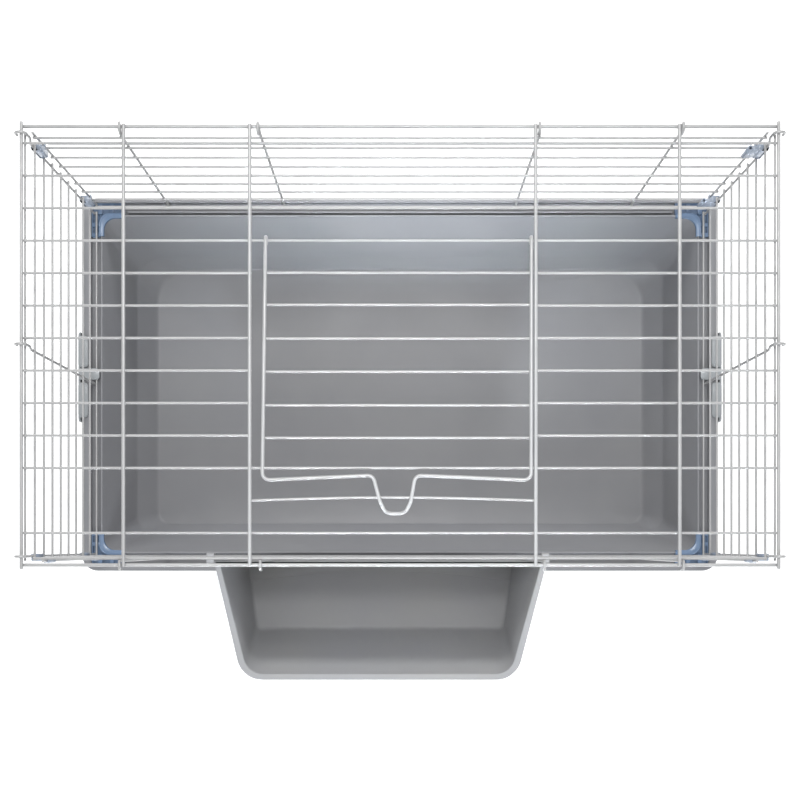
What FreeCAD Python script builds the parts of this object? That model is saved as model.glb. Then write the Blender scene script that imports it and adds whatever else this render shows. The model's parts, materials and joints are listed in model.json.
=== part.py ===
import FreeCAD, Part
import math
import os

# A wire-topped indoor rabbit hutch: a moulded tray, four welded wire walls that stand in a
# channel round the tray's rim, a welded wire roof with a lift-up door, plastic corner clips,
# two side latches and a trough that hangs outside on the front wall.
#
# Millimetres, +Z up.  The origin is the middle of the tray's underside.
# +X is to the right along the long side, and the front, with the trough, faces -Y.

Vector = FreeCAD.Vector

# ---------------------------------------------------------------- driving dimensions
TRAY_HALF = (390.0, 228.5)          # outer edge of the rim
TRAY_HEIGHT = 127.0                 # top of the rim
ROOF_HEIGHT = 413.0                 # centre of the roof's two long edge wires
ROOF_HALF = (373.0, 216.5)          # centres of the roof's edge wires

BAR_RADIUS = 1.25                   # thin bars of walls, roof and door
UPRIGHT_RADIUS = 1.4                # upright wires of the walls
EDGE_RADIUS = 1.75                  # wires round the roof's edge
CROSS_RADIUS = 1.8                  # wires across the roof, and the door's frame

# tray
FLOOR_THICKNESS = 2.5
SKIN = 2.2                          # sideways thickness of the tray's walls
FLOOR_HALF = (321.0, 169.0)         # flat floor
BAND_HALF = (343.0, 179.0)          # top of the sloping band round the floor
BAND_HEIGHT = 28.0
INNER_TOP_HALF = (364.0, 205.0)     # inner edge of the rim
FLOOR_CORNERS = (15.0, 45.0)        # corner radius at the front and at the back
BAND_CORNERS = (20.0, 36.0)
INNER_TOP_CORNER = 14.0
CHANNEL_IN_HALF = (366.0, 207.0)    # channel that the wire walls stand in
CHANNEL_OUT_HALF = (378.0, 222.0)
CHANNEL_FLOOR = 120.5
CHANNEL_CORNERS = (12.0, 6.0)       # inner and outer corner radius
CHANNEL_RIB_X = 333.0               # half length of the rib in the back of the channel
CHANNEL_RIB_Y = (209.5, 212.2)
CHANNEL_RIB_TOP = 125.6
RIM_CORNER = 20.0
RIM_UNDERSIDE = 115.0
RIM_SHEET = 2.2                     # thickness of the rim's plastic

# walls
WALL_PITCH = 31.5
WALL_ROWS = 10
WALL_TOP = ROOF_HEIGHT - 3.2        # top bar of each wall
SIDE_WALL_X = 371.2
BACK_WALL_Y = 217.05
FRONT_WALL_Y = -210.0
SIDE_UPRIGHTS_Y = (208.8, 1.0, -208.0)
HOOKED_UPRIGHTS_X = (-283.3, -141.7, 141.7, 283.3)
BACK_HOOKS_X = (-276.0, -140.0, 137.5, 278.9)   # above the second bar these uprights lean to here
FRONT_HOOKS_X = (-276.0, -137.5, 142.4, 279.0)
LEAN_START = 4.0                    # above the second bar
LEAN_BEND = 12.0
BACK_END_UPRIGHT_X = 371.3
FRONT_END_UPRIGHT_X = 361.0
END_UPRIGHT_TOP = WALL_TOP - WALL_PITCH + 8.0
BESIDE_BAR = BAR_RADIUS + UPRIGHT_RADIUS    # an upright's distance from the bars it is welded to
HOOK_SPLAY = 0.6                    # how far a hook's tip leans away from the upright
CRANK_BEND = 8.0                    # the side uprights are cranked inwards below the top bar
CRANK_TOP_DROP = 5.0
CRANK_TOP_GAP = 0.1
# each hook: rise over the roof's long edge wires, reach, drop of its tip below them, bend radius
SIDE_HOOK = (7.9, 9.9, 2.0, 4.6)
BACK_HOOK = (6.1, 9.2, 3.5, 4.4)
FRONT_HOOK = (5.2, 8.2, 4.0, 3.8)
BACK_BAR_OVERHANG = 2.0             # level bars run past the end uprights
FRONT_BAR_OVERHANG = 2.5
SIDE_BAR_OVERHANG = (2.2, 4.5)      # at the back and at the front
EXTRA_BACK_BAR = (363.0, 360.4)     # half length and height of the one additional back bar

# roof
ROOF_PITCH = 32.07
ROOF_BARS = 13
FIRST_ROOF_BAR_Y = 200.0
HINGE_BAR = 3                       # bar that the door's curls go round
DOOR_STOP_BAR = 10                  # bar that the closed door lies on
CATCH_BAR = 11                      # bar that the door's loop drops over
CATCH_BAR_BOW = 3.0                 # the loop pulls this bar back by so much
CROSS_WIRES_X = (-272.4, -148.0, 133.7, 275.4)
OVERHANG = 1.6                      # bars run past the wire that they are welded to
SIDE_WIRE_OVERHANG = 4.0            # the side edge wires run past the long edge wires

# door
DOOR_RIDE = 3.45                    # door frame's centre line above the hinge bar's
DOOR_LEFT_X = (-132.5, -135.6)      # at the hinge and at the front: a little out of square
DOOR_RIGHT_X = (129.5, 129.2)
DOOR_FRONT_Y = -133.2
DOOR_RISE_Y = -128.4                # where the front wire meets the loop's legs
DOOR_CORNER = 7.0
DOOR_BAR_OVERHANG = 1.0
DOOR_BARS_Y = (71.9, 40.3, 7.0, -25.7, -58.8, -91.0)
CURL_TURN = 240.0
LOOP_LEGS_TOP_X = (-26.6, 15.0)
LOOP_KNEE_X = (-19.6, 10.6)
LOOP_KNEE_Y = -154.0
LOOP_END_X = (-14.0, 5.0)
LOOP_END_DROP = 11.5                # the loop's end is this far beyond and below its knee
LOOP_CORNER = 9.0
KNEE_BEND = 5.0

# corner pieces
CLIP_HEIGHT = 26.0
CLIP_CLEARANCE = 0.3
CLIP_LOOP_RADIUS = 3.0              # outside of the loops round the uprights
CLIP_MOUTH_HALF = 1.05              # a loop snaps open over its wire here
CLIP_CORNER = 2.0
CLIP_ABOVE_BAR = 0.5
CLIP_ROWS = (2, 8)                  # each clip sits on the bars of this row
CLIP_FINGER_HEIGHT = 3.5            # a back clip holds the back wall's upright at its foot only
CLIP_FINGER_HALF = 2.0
SPARE_LOOP = (357.5, 208.2)         # the right clips of the back wall carry one more, empty loop
SPARE_LOOP_RADII = (1.4, 2.7)
BACK_CLIP_X = (366.0, 376.0)
BACK_CLIP_Y = (205.8, 213.8)
FRONT_CLIP_X = (361.0, 376.0)
FRONT_CLIP_Y = (-213.0, -205.0)
BRACKET_LEG = 41.0
BRACKET_HEIGHT = 4.2                # of the part inside the channel
BRACKET_WALL = 1.3
BRACKET_CELLS = 2                   # open cells along each leg
BRACKET_RUNG = 5.0                  # solid length between the cells
BRACKET_FOOT_WALL = 3.0             # solid length between the last cell and the corner
BRACKET_LIP = 0.9                   # thickness of the part over the rim and of the skirt
BRACKET_GAP = 0.3                   # to the tray's plastic
BRACKET_SKIRT = 3.2                 # how far the skirt hangs down inside the rim
BRACKET_WIRE_CLEARANCE = 0.7

# latches
LATCH_Y = (-46.0, 64.0)
LATCH_FACE_X = 390.4                # inner face of the plate
LATCH_THICKNESS = 2.6
LATCH_Z = (84.0, 131.0)
LATCH_CORNERS = (14.0, 5.0)         # lower and upper corners of the plate
LOBE_CORNER = 5.0
LATCH_PIVOT = (386.0, 98.0)         # x and z
PIN_RADIUS = 2.2
PIN_CLEARANCE = 0.06
PIN_OVERHANG = 3.0                  # the pin runs past the ears
WEB_CLEARANCE = 0.5                 # between the web and the ears
EAR_RADIUS = 4.0
EAR_WIDTH = 4.0
EARS_Y = (-24.0, 38.0)              # lower side of each ear
LOBE_X = 380.5                      # how far in the two lobes reach
LOBE_UNDERSIDE = TRAY_HEIGHT + 0.6
NOTCH_Y = (2.0, 20.0)               # gap between the lobes
HOOK_Y = (5.0, 19.0)
HOOK_CORNER = 4.0
HOOK_X = 367.0                      # tip of the hook, over the side wall's lowest bar
HOOK_Z = (128.0, 130.2)

# trough
TROUGH_TOP = 281.0
TROUGH_FLOOR = 171.0
TROUGH_SKIN = 2.5
TROUGH_WALL_GAP = 0.55              # behind the trough, to the front wall's uprights
TROUGH_BACK_Y = FRONT_WALL_Y - BESIDE_BAR - UPRIGHT_RADIUS - TROUGH_WALL_GAP
TROUGH_FRONT_Y = -344.5
TROUGH_BOTTOM_FRONT_Y = -299.2
TROUGH_TOP_X = (-204.0, 161.2)      # outer edge of the rim at the back
TROUGH_TOP_FRONT_X = (-173.3, 127.3)
TROUGH_BOTTOM_X = (-182.5, 136.0)
TROUGH_BOTTOM_FRONT_X = (-173.3, 125.9)
TROUGH_LIP = 4.0
TROUGH_LIP_CORNER = 28.0
TROUGH_BOTTOM_CORNER = 10.0
TROUGH_BACK_CORNER = 2.0
HANGING_ROW = 4                     # front wall bar that the trough hangs on
STEP_HEIGHT = 2.0                   # low arched step along the back of the trough's floor
STEP_END_Y = -240.0
STEP_MIDDLE_Y = -227.3
STEP_ROOT = 1.0                     # how far the step is sunk into floor and walls
HANGER_X = (-211.0, 155.0)
HANGER_WIDTH = 8.0
HANGER_SHEET = 2.6
HANGER_STRIP = 13.0                 # height of the stiffening strip that joins the two hooks
HANGER_CLEARANCE = 0.65             # between the hook and the bar
HANGER_TAIL = 7.0                   # how far the hook's tip hangs below the bar
HANGER_BENDS = (2.2, 0.8)           # at the top and at the tip


# ---------------------------------------------------------------- building blocks
def rounded_path(points, radii, closed):
    """Straight runs through the points, with a tangent arc of the given radius at each corner."""
    count = len(points)
    corners = []
    for index, point in enumerate(points):
        is_end = not closed and index in (0, count - 1)
        if is_end or radii[index] == 0:
            corners.append((point, None, point))
            continue
        towards_last = (points[index - 1] - point).normalize()
        towards_next = (points[(index + 1) % count] - point).normalize()
        half_angle = towards_last.getAngle(towards_next) / 2
        reach = radii[index] / math.tan(half_angle)
        inward = (towards_last + towards_next).normalize()
        centre = point + inward * (radii[index] / math.sin(half_angle))
        corners.append((point + towards_last * reach, centre - inward * radii[index],
                        point + towards_next * reach))
    edges = []
    for index, (arc_start, arc_middle, arc_end) in enumerate(corners):
        if arc_middle is not None:
            edges.append(Part.Arc(arc_start, arc_middle, arc_end).toShape())
        if index == count - 1 and not closed:
            continue
        next_start = corners[(index + 1) % count][0]
        if arc_end.distanceToPoint(next_start) > 1e-6:
            edges.append(Part.LineSegment(arc_end, next_start).toShape())
    return edges


def outline(corners, radii, z):
    """Closed level outline through (x, y) corners."""
    points = [Vector(x, y, z) for x, y in corners]
    return Part.Wire(rounded_path(points, radii, True))


def rounded_rectangle(half, front_radius, back_radius, z):
    half_x, half_y = half
    corners = [(-half_x, -half_y), (half_x, -half_y), (half_x, half_y), (-half_x, half_y)]
    return outline(corners, [front_radius, front_radius, back_radius, back_radius], z)


def even_rectangle(half, radius, z):
    return rounded_rectangle(half, radius, radius, z)


def prism(wire, height):
    return Part.Face(wire).extrude(Vector(0, 0, height))


def loft(wires):
    return Part.makeLoft(wires, True, True)


def box(low, high):
    size = Vector(*high) - Vector(*low)
    return Part.makeBox(size.x, size.y, size.z, Vector(*low))


def rod(start, end, radius):
    """Straight wire."""
    start = Vector(*start)
    direction = Vector(*end) - start
    return Part.makeCylinder(radius, direction.Length, start, direction)


def swept_rod(edges, radius):
    """Bent wire along a path of straight runs and tangent arcs."""
    path = Part.Wire(edges)
    first = edges[0]
    start = first.valueAt(first.FirstParameter)
    direction = first.tangentAt(first.FirstParameter)
    section = Part.Wire(Part.makeCircle(radius, start, direction))
    return path.makePipeShell([section], True, False)


def row_height(row):
    """Height of a wall bar, counted down from the top bar."""
    return WALL_TOP - WALL_PITCH * row


def roof_bar_y(index):
    return FIRST_ROOF_BAR_Y - ROOF_PITCH * index


def mirrored(shape):
    """The same piece on the other side of the hutch."""
    return shape.mirror(Vector(0, 0, 0), Vector(1, 0, 0))


def save(node, solids):
    shape = solids[0] if len(solids) == 1 else Part.makeCompound(solids)
    for solid in shape.Solids:
        if not solid.isValid():
            print("invalid solid in", node)
    shape.exportStep("parts/" + node + ".step")


# ---------------------------------------------------------------- tray
def tray_section(half, corners, z, outside):
    """One level outline of the tray's shell, inside or outside."""
    front, back = corners
    if not outside:
        return rounded_rectangle(half, front, back, z)
    grown = (half[0] + SKIN, half[1] + SKIN)
    return rounded_rectangle(grown, front + SKIN, back + SKIN, z - FLOOR_THICKNESS)


def tray_loft(outside):
    sections = [
        tray_section(FLOOR_HALF, FLOOR_CORNERS, FLOOR_THICKNESS, outside),
        tray_section(BAND_HALF, BAND_CORNERS, BAND_HEIGHT, outside),
        tray_section(INNER_TOP_HALF, (INNER_TOP_CORNER, INNER_TOP_CORNER), TRAY_HEIGHT, outside),
    ]
    return loft(sections)


def ring(inner_half, inner_corner, outer_half, outer_corner, low, high):
    """Level ring between two rounded rectangles."""
    outer = prism(even_rectangle(outer_half, outer_corner, low), high - low)
    inner = prism(even_rectangle(inner_half, inner_corner, low), high - low)
    return outer.cut(inner)


def tray_rim():
    """Turned-over rim with the channel for the wire walls."""
    inner_corner, outer_corner = CHANNEL_CORNERS
    rim = prism(even_rectangle(TRAY_HALF, RIM_CORNER, RIM_UNDERSIDE), TRAY_HEIGHT - RIM_UNDERSIDE)
    channel = ring(CHANNEL_IN_HALF, inner_corner, CHANNEL_OUT_HALF, outer_corner,
                   CHANNEL_FLOOR, TRAY_HEIGHT + 1)
    ledge_in = tuple(half + RIM_SHEET for half in CHANNEL_OUT_HALF)
    ledge_out = tuple(half - RIM_SHEET for half in TRAY_HALF)
    under_ledge = ring(ledge_in, outer_corner + RIM_SHEET, ledge_out, RIM_CORNER - RIM_SHEET,
                       RIM_UNDERSIDE, TRAY_HEIGHT - RIM_SHEET)
    under_channel = prism(even_rectangle(ledge_in, outer_corner + RIM_SHEET, RIM_UNDERSIDE),
                          CHANNEL_FLOOR - RIM_SHEET - RIM_UNDERSIDE)
    rib_low, rib_high = CHANNEL_RIB_Y
    rib = box((-CHANNEL_RIB_X, rib_low, CHANNEL_FLOOR - RIM_SHEET / 2),
              (CHANNEL_RIB_X, rib_high, CHANNEL_RIB_TOP))
    return rim.cut(channel).cut(under_ledge).cut(under_channel).fuse(rib)


def latch_ear(ear_y):
    """Ear on the tray's right wall that holds one end of the latch's pin."""
    pivot_x, pivot_z = LATCH_PIVOT
    arm = box((BAND_HALF[0], ear_y, pivot_z - EAR_RADIUS), (pivot_x, ear_y + EAR_WIDTH, pivot_z + EAR_RADIUS))
    end = rod((pivot_x, ear_y, pivot_z), (pivot_x, ear_y + EAR_WIDTH, pivot_z), EAR_RADIUS)
    hole = rod((pivot_x, ear_y - 1, pivot_z), (pivot_x, ear_y + EAR_WIDTH + 1, pivot_z),
               PIN_RADIUS + PIN_CLEARANCE)
    return arm.fuse(end).cut(hole)


def make_tray():
    tray = tray_loft(True).fuse(tray_rim())
    for ear_y in EARS_Y:
        ear = latch_ear(ear_y)
        tray = tray.fuse(ear).fuse(mirrored(ear))
    return tray.cut(tray_loft(False)).removeSplitter()


# ---------------------------------------------------------------- latches
def make_right_latch():
    """Plate outside the rim, two lobes and a hook over it, and the pin that it turns on."""
    low_y, high_y = LATCH_Y
    low_z, high_z = LATCH_Z
    plate_corners = [Vector(LATCH_FACE_X, low_y, low_z), Vector(LATCH_FACE_X, high_y, low_z),
                     Vector(LATCH_FACE_X, high_y, high_z), Vector(LATCH_FACE_X, low_y, high_z)]
    low_corner, high_corner = LATCH_CORNERS
    plate_radii = [low_corner, low_corner, high_corner, high_corner]
    plate_wire = Part.Wire(rounded_path(plate_corners, plate_radii, True))
    latch = Part.Face(plate_wire).extrude(Vector(LATCH_THICKNESS, 0, 0))
    outer_x = LATCH_FACE_X + LATCH_THICKNESS
    gap_low, gap_high = NOTCH_Y
    latch = latch.cut(box((LATCH_FACE_X - 1, gap_low, HOOK_Z[1]), (outer_x + 1, gap_high, high_z + 1)))
    for lobe_low, lobe_high in ((low_y + high_corner, gap_low), (gap_high, high_y - high_corner)):
        lobe_corners = [(LOBE_X, lobe_low), (outer_x, lobe_low), (outer_x, lobe_high), (LOBE_X, lobe_high)]
        lobe = outline(lobe_corners, [LOBE_CORNER, 0.0, 0.0, LOBE_CORNER], LOBE_UNDERSIDE)
        latch = latch.fuse(prism(lobe, high_z - LOBE_UNDERSIDE))
    hook_corners = [(HOOK_X, HOOK_Y[0]), (outer_x, HOOK_Y[0]), (outer_x, HOOK_Y[1]), (HOOK_X, HOOK_Y[1])]
    hook = outline(hook_corners, [HOOK_CORNER, 0.0, 0.0, HOOK_CORNER], HOOK_Z[0])
    latch = latch.fuse(prism(hook, HOOK_Z[1] - HOOK_Z[0]))
    pivot_x, pivot_z = LATCH_PIVOT
    pin_low = EARS_Y[0] - PIN_OVERHANG
    pin_high = EARS_Y[1] + EAR_WIDTH + PIN_OVERHANG
    pin = rod((pivot_x, pin_low, pivot_z), (pivot_x, pin_high, pivot_z), PIN_RADIUS)
    web_low = EARS_Y[0] + EAR_WIDTH + WEB_CLEARANCE
    web_high = EARS_Y[1] - WEB_CLEARANCE
    web = box((pivot_x, web_low, pivot_z - PIN_RADIUS), (LATCH_FACE_X + 1, web_high, pivot_z + PIN_RADIUS))
    return latch.fuse(pin).fuse(web).removeSplitter()


# ---------------------------------------------------------------- walls
def side_bars(side):
    """The level bars of the left (-1) or right (+1) wall."""
    back_end = SIDE_UPRIGHTS_Y[0] + SIDE_BAR_OVERHANG[0]
    front_end = SIDE_UPRIGHTS_Y[-1] - SIDE_BAR_OVERHANG[1]
    x = side * SIDE_WALL_X
    bars = []
    for row in range(WALL_ROWS):
        z = row_height(row)
        bars.append(rod((x, front_end, z), (x, back_end, z), BAR_RADIUS))
    return bars


def level_bars(half_x, y):
    """The level bars of the front or back wall."""
    bars = []
    for row in range(WALL_ROWS):
        z = row_height(row)
        bars.append(rod((-half_x, y, z), (half_x, y, z), BAR_RADIUS))
    return bars


def back_bars():
    half_x, z = EXTRA_BACK_BAR
    extra_bar = rod((-half_x, BACK_WALL_Y, z), (half_x, BACK_WALL_Y, z), BAR_RADIUS)
    return level_bars(BACK_END_UPRIGHT_X + BACK_BAR_OVERHANG, BACK_WALL_Y) + [extra_bar]


def hooked_upright(stem, stem_bends, direction, hook):
    """Upright bent through the stem's points, its top bent over in a level direction."""
    rise, reach, drop, bend = hook
    last = stem[-1]
    top = Vector(last.x, last.y, ROOF_HEIGHT + rise)
    over = top + direction * reach
    tip = over + direction * HOOK_SPLAY - Vector(0, 0, rise + drop)
    bends = [0] + stem_bends + [bend, bend, 0]
    return swept_rod(rounded_path(stem[:-1] + [top, over, tip], bends, False), UPRIGHT_RADIUS)


def leaning_upright(x, top_x, y, hook):
    """Upright of the front or back wall, hooked forwards over the roof's edge wire."""
    stem = [Vector(x, y, CHANNEL_FLOOR), Vector(x, y, row_height(1) + LEAN_START),
            Vector(top_x, y, ROOF_HEIGHT)]
    return hooked_upright(stem, [LEAN_BEND], Vector(0, -1, 0), hook)


def end_uprights(half_x, y):
    """The two shorter uprights at the ends of the front or back wall."""
    uprights = []
    for x in (-half_x, half_x):
        uprights.append(rod((x, y, CHANNEL_FLOOR), (x, y, END_UPRIGHT_TOP), UPRIGHT_RADIUS))
    return uprights


def side_uprights(side):
    """Uprights outside the bars, cranked inwards at the top and hooked over the roof's side wire."""
    outer_x = side * (SIDE_WALL_X + BESIDE_BAR)
    inner_x = side * (SIDE_WALL_X - BESIDE_BAR - CRANK_TOP_GAP)
    uprights = []
    for y in SIDE_UPRIGHTS_Y:
        stem = [Vector(outer_x, y, CHANNEL_FLOOR), Vector(outer_x, y, row_height(1) + LEAN_START),
                Vector(inner_x, y, row_height(0) - CRANK_TOP_DROP), Vector(inner_x, y, ROOF_HEIGHT)]
        uprights.append(hooked_upright(stem, [CRANK_BEND, CRANK_BEND], Vector(side, 0, 0), SIDE_HOOK))
    return uprights


def back_uprights():
    """Uprights outside the bars, hooked inwards over the roof's back edge wire."""
    y = BACK_WALL_Y + BESIDE_BAR
    places = zip(HOOKED_UPRIGHTS_X, BACK_HOOKS_X)
    hooked = [leaning_upright(x, top_x, y, BACK_HOOK) for x, top_x in places]
    return hooked + end_uprights(BACK_END_UPRIGHT_X, y)


def front_uprights():
    """Uprights outside the bars, hooked outwards over the roof's front edge wire."""
    y = FRONT_WALL_Y - BESIDE_BAR
    places = zip(HOOKED_UPRIGHTS_X, FRONT_HOOKS_X)
    hooked = [leaning_upright(x, top_x, y, FRONT_HOOK) for x, top_x in places]
    return hooked + end_uprights(FRONT_END_UPRIGHT_X, y)


# ---------------------------------------------------------------- roof
ROOF_TOP_OF_BARS = ROOF_HEIGHT + EDGE_RADIUS
ROOF_BAR_Z = ROOF_TOP_OF_BARS - BAR_RADIUS


def roof_edge_wires():
    """Two long wires level with the bars, and two side wires on top of the bars."""
    half_x, half_y = ROOF_HALF
    over_x = half_x + OVERHANG
    over_y = half_y + SIDE_WIRE_OVERHANG
    side_z = ROOF_TOP_OF_BARS + EDGE_RADIUS
    wires = []
    for side in (-1, 1):
        y = side * half_y
        wires.append(rod((-over_x, y, ROOF_HEIGHT), (over_x, y, ROOF_HEIGHT), EDGE_RADIUS))
        x = side * half_x
        wires.append(rod((x, -over_y, side_z), (x, over_y, side_z), EDGE_RADIUS))
    return wires


def roof_cross_wires():
    over_y = ROOF_HALF[1] + OVERHANG
    z = ROOF_TOP_OF_BARS + CROSS_RADIUS
    return [rod((x, -over_y, z), (x, over_y, z), CROSS_RADIUS) for x in CROSS_WIRES_X]


def catch_bar():
    """The bar under the door's loop, bowed between the two middle cross wires."""
    y = roof_bar_y(CATCH_BAR)
    over_x = ROOF_HALF[0] + OVERHANG
    left_x, right_x = CROSS_WIRES_X[1:3]
    left = Vector(left_x, y, ROOF_BAR_Z)
    right = Vector(right_x, y, ROOF_BAR_Z)
    middle = Vector((left_x + right_x) / 2, y + CATCH_BAR_BOW, ROOF_BAR_Z)
    ends = [rod((-over_x, y, ROOF_BAR_Z), tuple(left), BAR_RADIUS),
            rod(tuple(right), (over_x, y, ROOF_BAR_Z), BAR_RADIUS)]
    joints = [Part.makeSphere(BAR_RADIUS, left), Part.makeSphere(BAR_RADIUS, right)]
    bar = swept_rod([Part.Arc(left, middle, right).toShape()], BAR_RADIUS)
    for piece in ends + joints:
        bar = bar.fuse(piece)
    return bar


def roof_full_bars():
    """Bars that run the roof's whole length."""
    over_x = ROOF_HALF[0] + OVERHANG
    bars = []
    for index in range(ROOF_BARS):
        if HINGE_BAR < index < DOOR_STOP_BAR or index == CATCH_BAR:
            continue
        y = roof_bar_y(index)
        bars.append(rod((-over_x, y, ROOF_BAR_Z), (over_x, y, ROOF_BAR_Z), BAR_RADIUS))
    return bars + [catch_bar()]


def roof_short_bars(side):
    """Bars that end at the door opening, left (-1) or right (+1) of it."""
    outer_x = side * (ROOF_HALF[0] + OVERHANG)
    inner_x = CROSS_WIRES_X[1] + OVERHANG if side < 0 else CROSS_WIRES_X[2] - OVERHANG
    bars = []
    for index in range(HINGE_BAR + 1, DOOR_STOP_BAR):
        y = roof_bar_y(index)
        bars.append(rod((outer_x, y, ROOF_BAR_Z), (inner_x, y, ROOF_BAR_Z), BAR_RADIUS))
    return bars


# ---------------------------------------------------------------- roof door
DOOR_Z = ROOF_BAR_Z + DOOR_RIDE


def front_run(front_x, leg_x):
    """Ends of one run of the door's front edge, and where it meets its neighbours."""
    corner = Vector(front_x, DOOR_FRONT_Y, DOOR_Z)
    leg_top = Vector(leg_x, DOOR_RISE_Y, DOOR_Z)
    step = (leg_top - corner).normalize() * (2 * DOOR_CORNER)
    return corner, corner + step, leg_top - step, leg_top


LEFT_RUN = front_run(DOOR_LEFT_X[1], LOOP_LEGS_TOP_X[0])
RIGHT_RUN = front_run(DOOR_RIGHT_X[1], LOOP_LEGS_TOP_X[1])


def door_side_wire(hinge_x, run):
    """Side of the door's frame: a curl round the hinge bar, a long run and the front corner."""
    hinge_y = roof_bar_y(HINGE_BAR)
    turn = math.radians(CURL_TURN)
    curl_points = []
    for share in (1.0, 0.5):
        angle = turn * share
        curl_points.append(Vector(hinge_x, hinge_y + DOOR_RIDE * math.sin(angle),
                                  ROOF_BAR_Z + DOOR_RIDE * math.cos(angle)))
    top = Vector(hinge_x, hinge_y, DOOR_Z)
    corner, corner_end = run[:2]
    edges = [Part.Arc(curl_points[0], curl_points[1], top).toShape()]
    edges += rounded_path([top, corner, corner_end], [0, DOOR_CORNER, 0], False)
    return swept_rod(edges, CROSS_RADIUS)


def door_front_wires():
    """The front edge's two runs, from each corner to the loop's legs."""
    return [rod(tuple(run[1]), tuple(run[2]), CROSS_RADIUS) for run in (LEFT_RUN, RIGHT_RUN)]


def door_loop():
    """The loop in the middle of the front edge, dropped over the catch bar."""
    end_y = LOOP_KNEE_Y - LOOP_END_DROP
    end_z = DOOR_Z - LOOP_END_DROP
    points = [
        LEFT_RUN[2],
        LEFT_RUN[3],
        Vector(LOOP_KNEE_X[0], LOOP_KNEE_Y, DOOR_Z),
        Vector(LOOP_END_X[0], end_y, end_z),
        Vector(LOOP_END_X[1], end_y, end_z),
        Vector(LOOP_KNEE_X[1], LOOP_KNEE_Y, DOOR_Z),
        RIGHT_RUN[3],
        RIGHT_RUN[2],
    ]
    radii = [0, DOOR_CORNER, KNEE_BEND, LOOP_CORNER, LOOP_CORNER, KNEE_BEND, DOOR_CORNER, 0]
    return swept_rod(rounded_path(points, radii, False), CROSS_RADIUS)


def door_bars():
    """Thin bars under the door's frame."""
    hinge_y = roof_bar_y(HINGE_BAR)
    length = hinge_y - DOOR_FRONT_Y
    z = DOOR_Z - CROSS_RADIUS - BAR_RADIUS
    bars = []
    for y in DOOR_BARS_Y:
        share = (hinge_y - y) / length
        left_x = DOOR_LEFT_X[0] + share * (DOOR_LEFT_X[1] - DOOR_LEFT_X[0])
        right_x = DOOR_RIGHT_X[0] + share * (DOOR_RIGHT_X[1] - DOOR_RIGHT_X[0])
        bars.append(rod((left_x - DOOR_BAR_OVERHANG, y, z), (right_x + DOOR_BAR_OVERHANG, y, z), BAR_RADIUS))
    return bars


# ---------------------------------------------------------------- corner clips and brackets
def corner_uprights(side, is_back):
    """Centres of the two end uprights that meet at one corner: the side wall's, then the other's."""
    side_x = side * (SIDE_WALL_X + BESIDE_BAR)
    if is_back:
        return [(side_x, SIDE_UPRIGHTS_Y[0]), (side * BACK_END_UPRIGHT_X, BACK_WALL_Y + BESIDE_BAR)]
    return [(side_x, SIDE_UPRIGHTS_Y[-1]), (side * FRONT_END_UPRIGHT_X, FRONT_WALL_Y - BESIDE_BAR)]


def spare_loop(low_z):
    """Closed ring on a short arm, beside the clip's body."""
    x, y = SPARE_LOOP
    hole, outside = SPARE_LOOP_RADII
    arm = box((x, y - outside, low_z), (BACK_CLIP_X[0] + CLIP_CORNER, y + outside, low_z + CLIP_HEIGHT))
    ring_outside = rod((x, y, low_z), (x, y, low_z + CLIP_HEIGHT), outside)
    return arm.fuse(ring_outside).cut(rod((x, y, low_z - 1), (x, y, low_z + CLIP_HEIGHT + 1), hole))


def corner_clip(side, is_back, low_z):
    """Plastic clip whose two loops snap round the end uprights of two walls.

    In a back corner the second loop is a low finger behind the clip's body.
    """
    low_x, high_x = BACK_CLIP_X if is_back else FRONT_CLIP_X
    low_y, high_y = BACK_CLIP_Y if is_back else FRONT_CLIP_Y
    corners = [(side * low_x, low_y), (side * high_x, low_y), (side * high_x, high_y), (side * low_x, high_y)]
    clip = prism(outline(corners, [CLIP_CORNER] * len(corners), low_z), CLIP_HEIGHT)
    high_z = low_z + CLIP_HEIGHT
    if is_back and side > 0:
        clip = clip.fuse(spare_loop(low_z))
    uprights = corner_uprights(side, is_back)
    far_x, far_y = uprights[1]
    finger_z = low_z + CLIP_FINGER_HEIGHT if is_back else high_z
    for (x, y), loop_z in zip(uprights, (high_z, finger_z)):
        clip = clip.fuse(rod((x, y, low_z), (x, y, loop_z), CLIP_LOOP_RADIUS))
    if is_back:
        clip = clip.fuse(box((far_x - CLIP_FINGER_HALF, high_y - CLIP_CORNER, low_z),
                             (far_x + CLIP_FINGER_HALF, far_y, finger_z)))
    for index, (x, y) in enumerate(uprights):
        clip = clip.cut(rod((x, y, low_z - 1), (x, y, high_z + 1), UPRIGHT_RADIUS + CLIP_CLEARANCE))
        opens_back = is_back == (index == 1)
        mouth_y = y + 2 * CLIP_LOOP_RADIUS if opens_back else y - 2 * CLIP_LOOP_RADIUS
        clip = clip.cut(box((x - CLIP_MOUTH_HALF, min(y, mouth_y), low_z - 1),
                            (x + CLIP_MOUTH_HALF, max(y, mouth_y), high_z + 1)))
    return clip.removeSplitter()


def shrunk(half, amount):
    return tuple(value - amount for value in half)


def tray_inside_half(z):
    """Half sizes of the tray's inside at a height in its upper, gently sloping part."""
    share = (TRAY_HEIGHT - z) / (TRAY_HEIGHT - BAND_HEIGHT)
    return tuple(top - share * (top - band) for top, band in zip(INNER_TOP_HALF, BAND_HALF))


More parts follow.
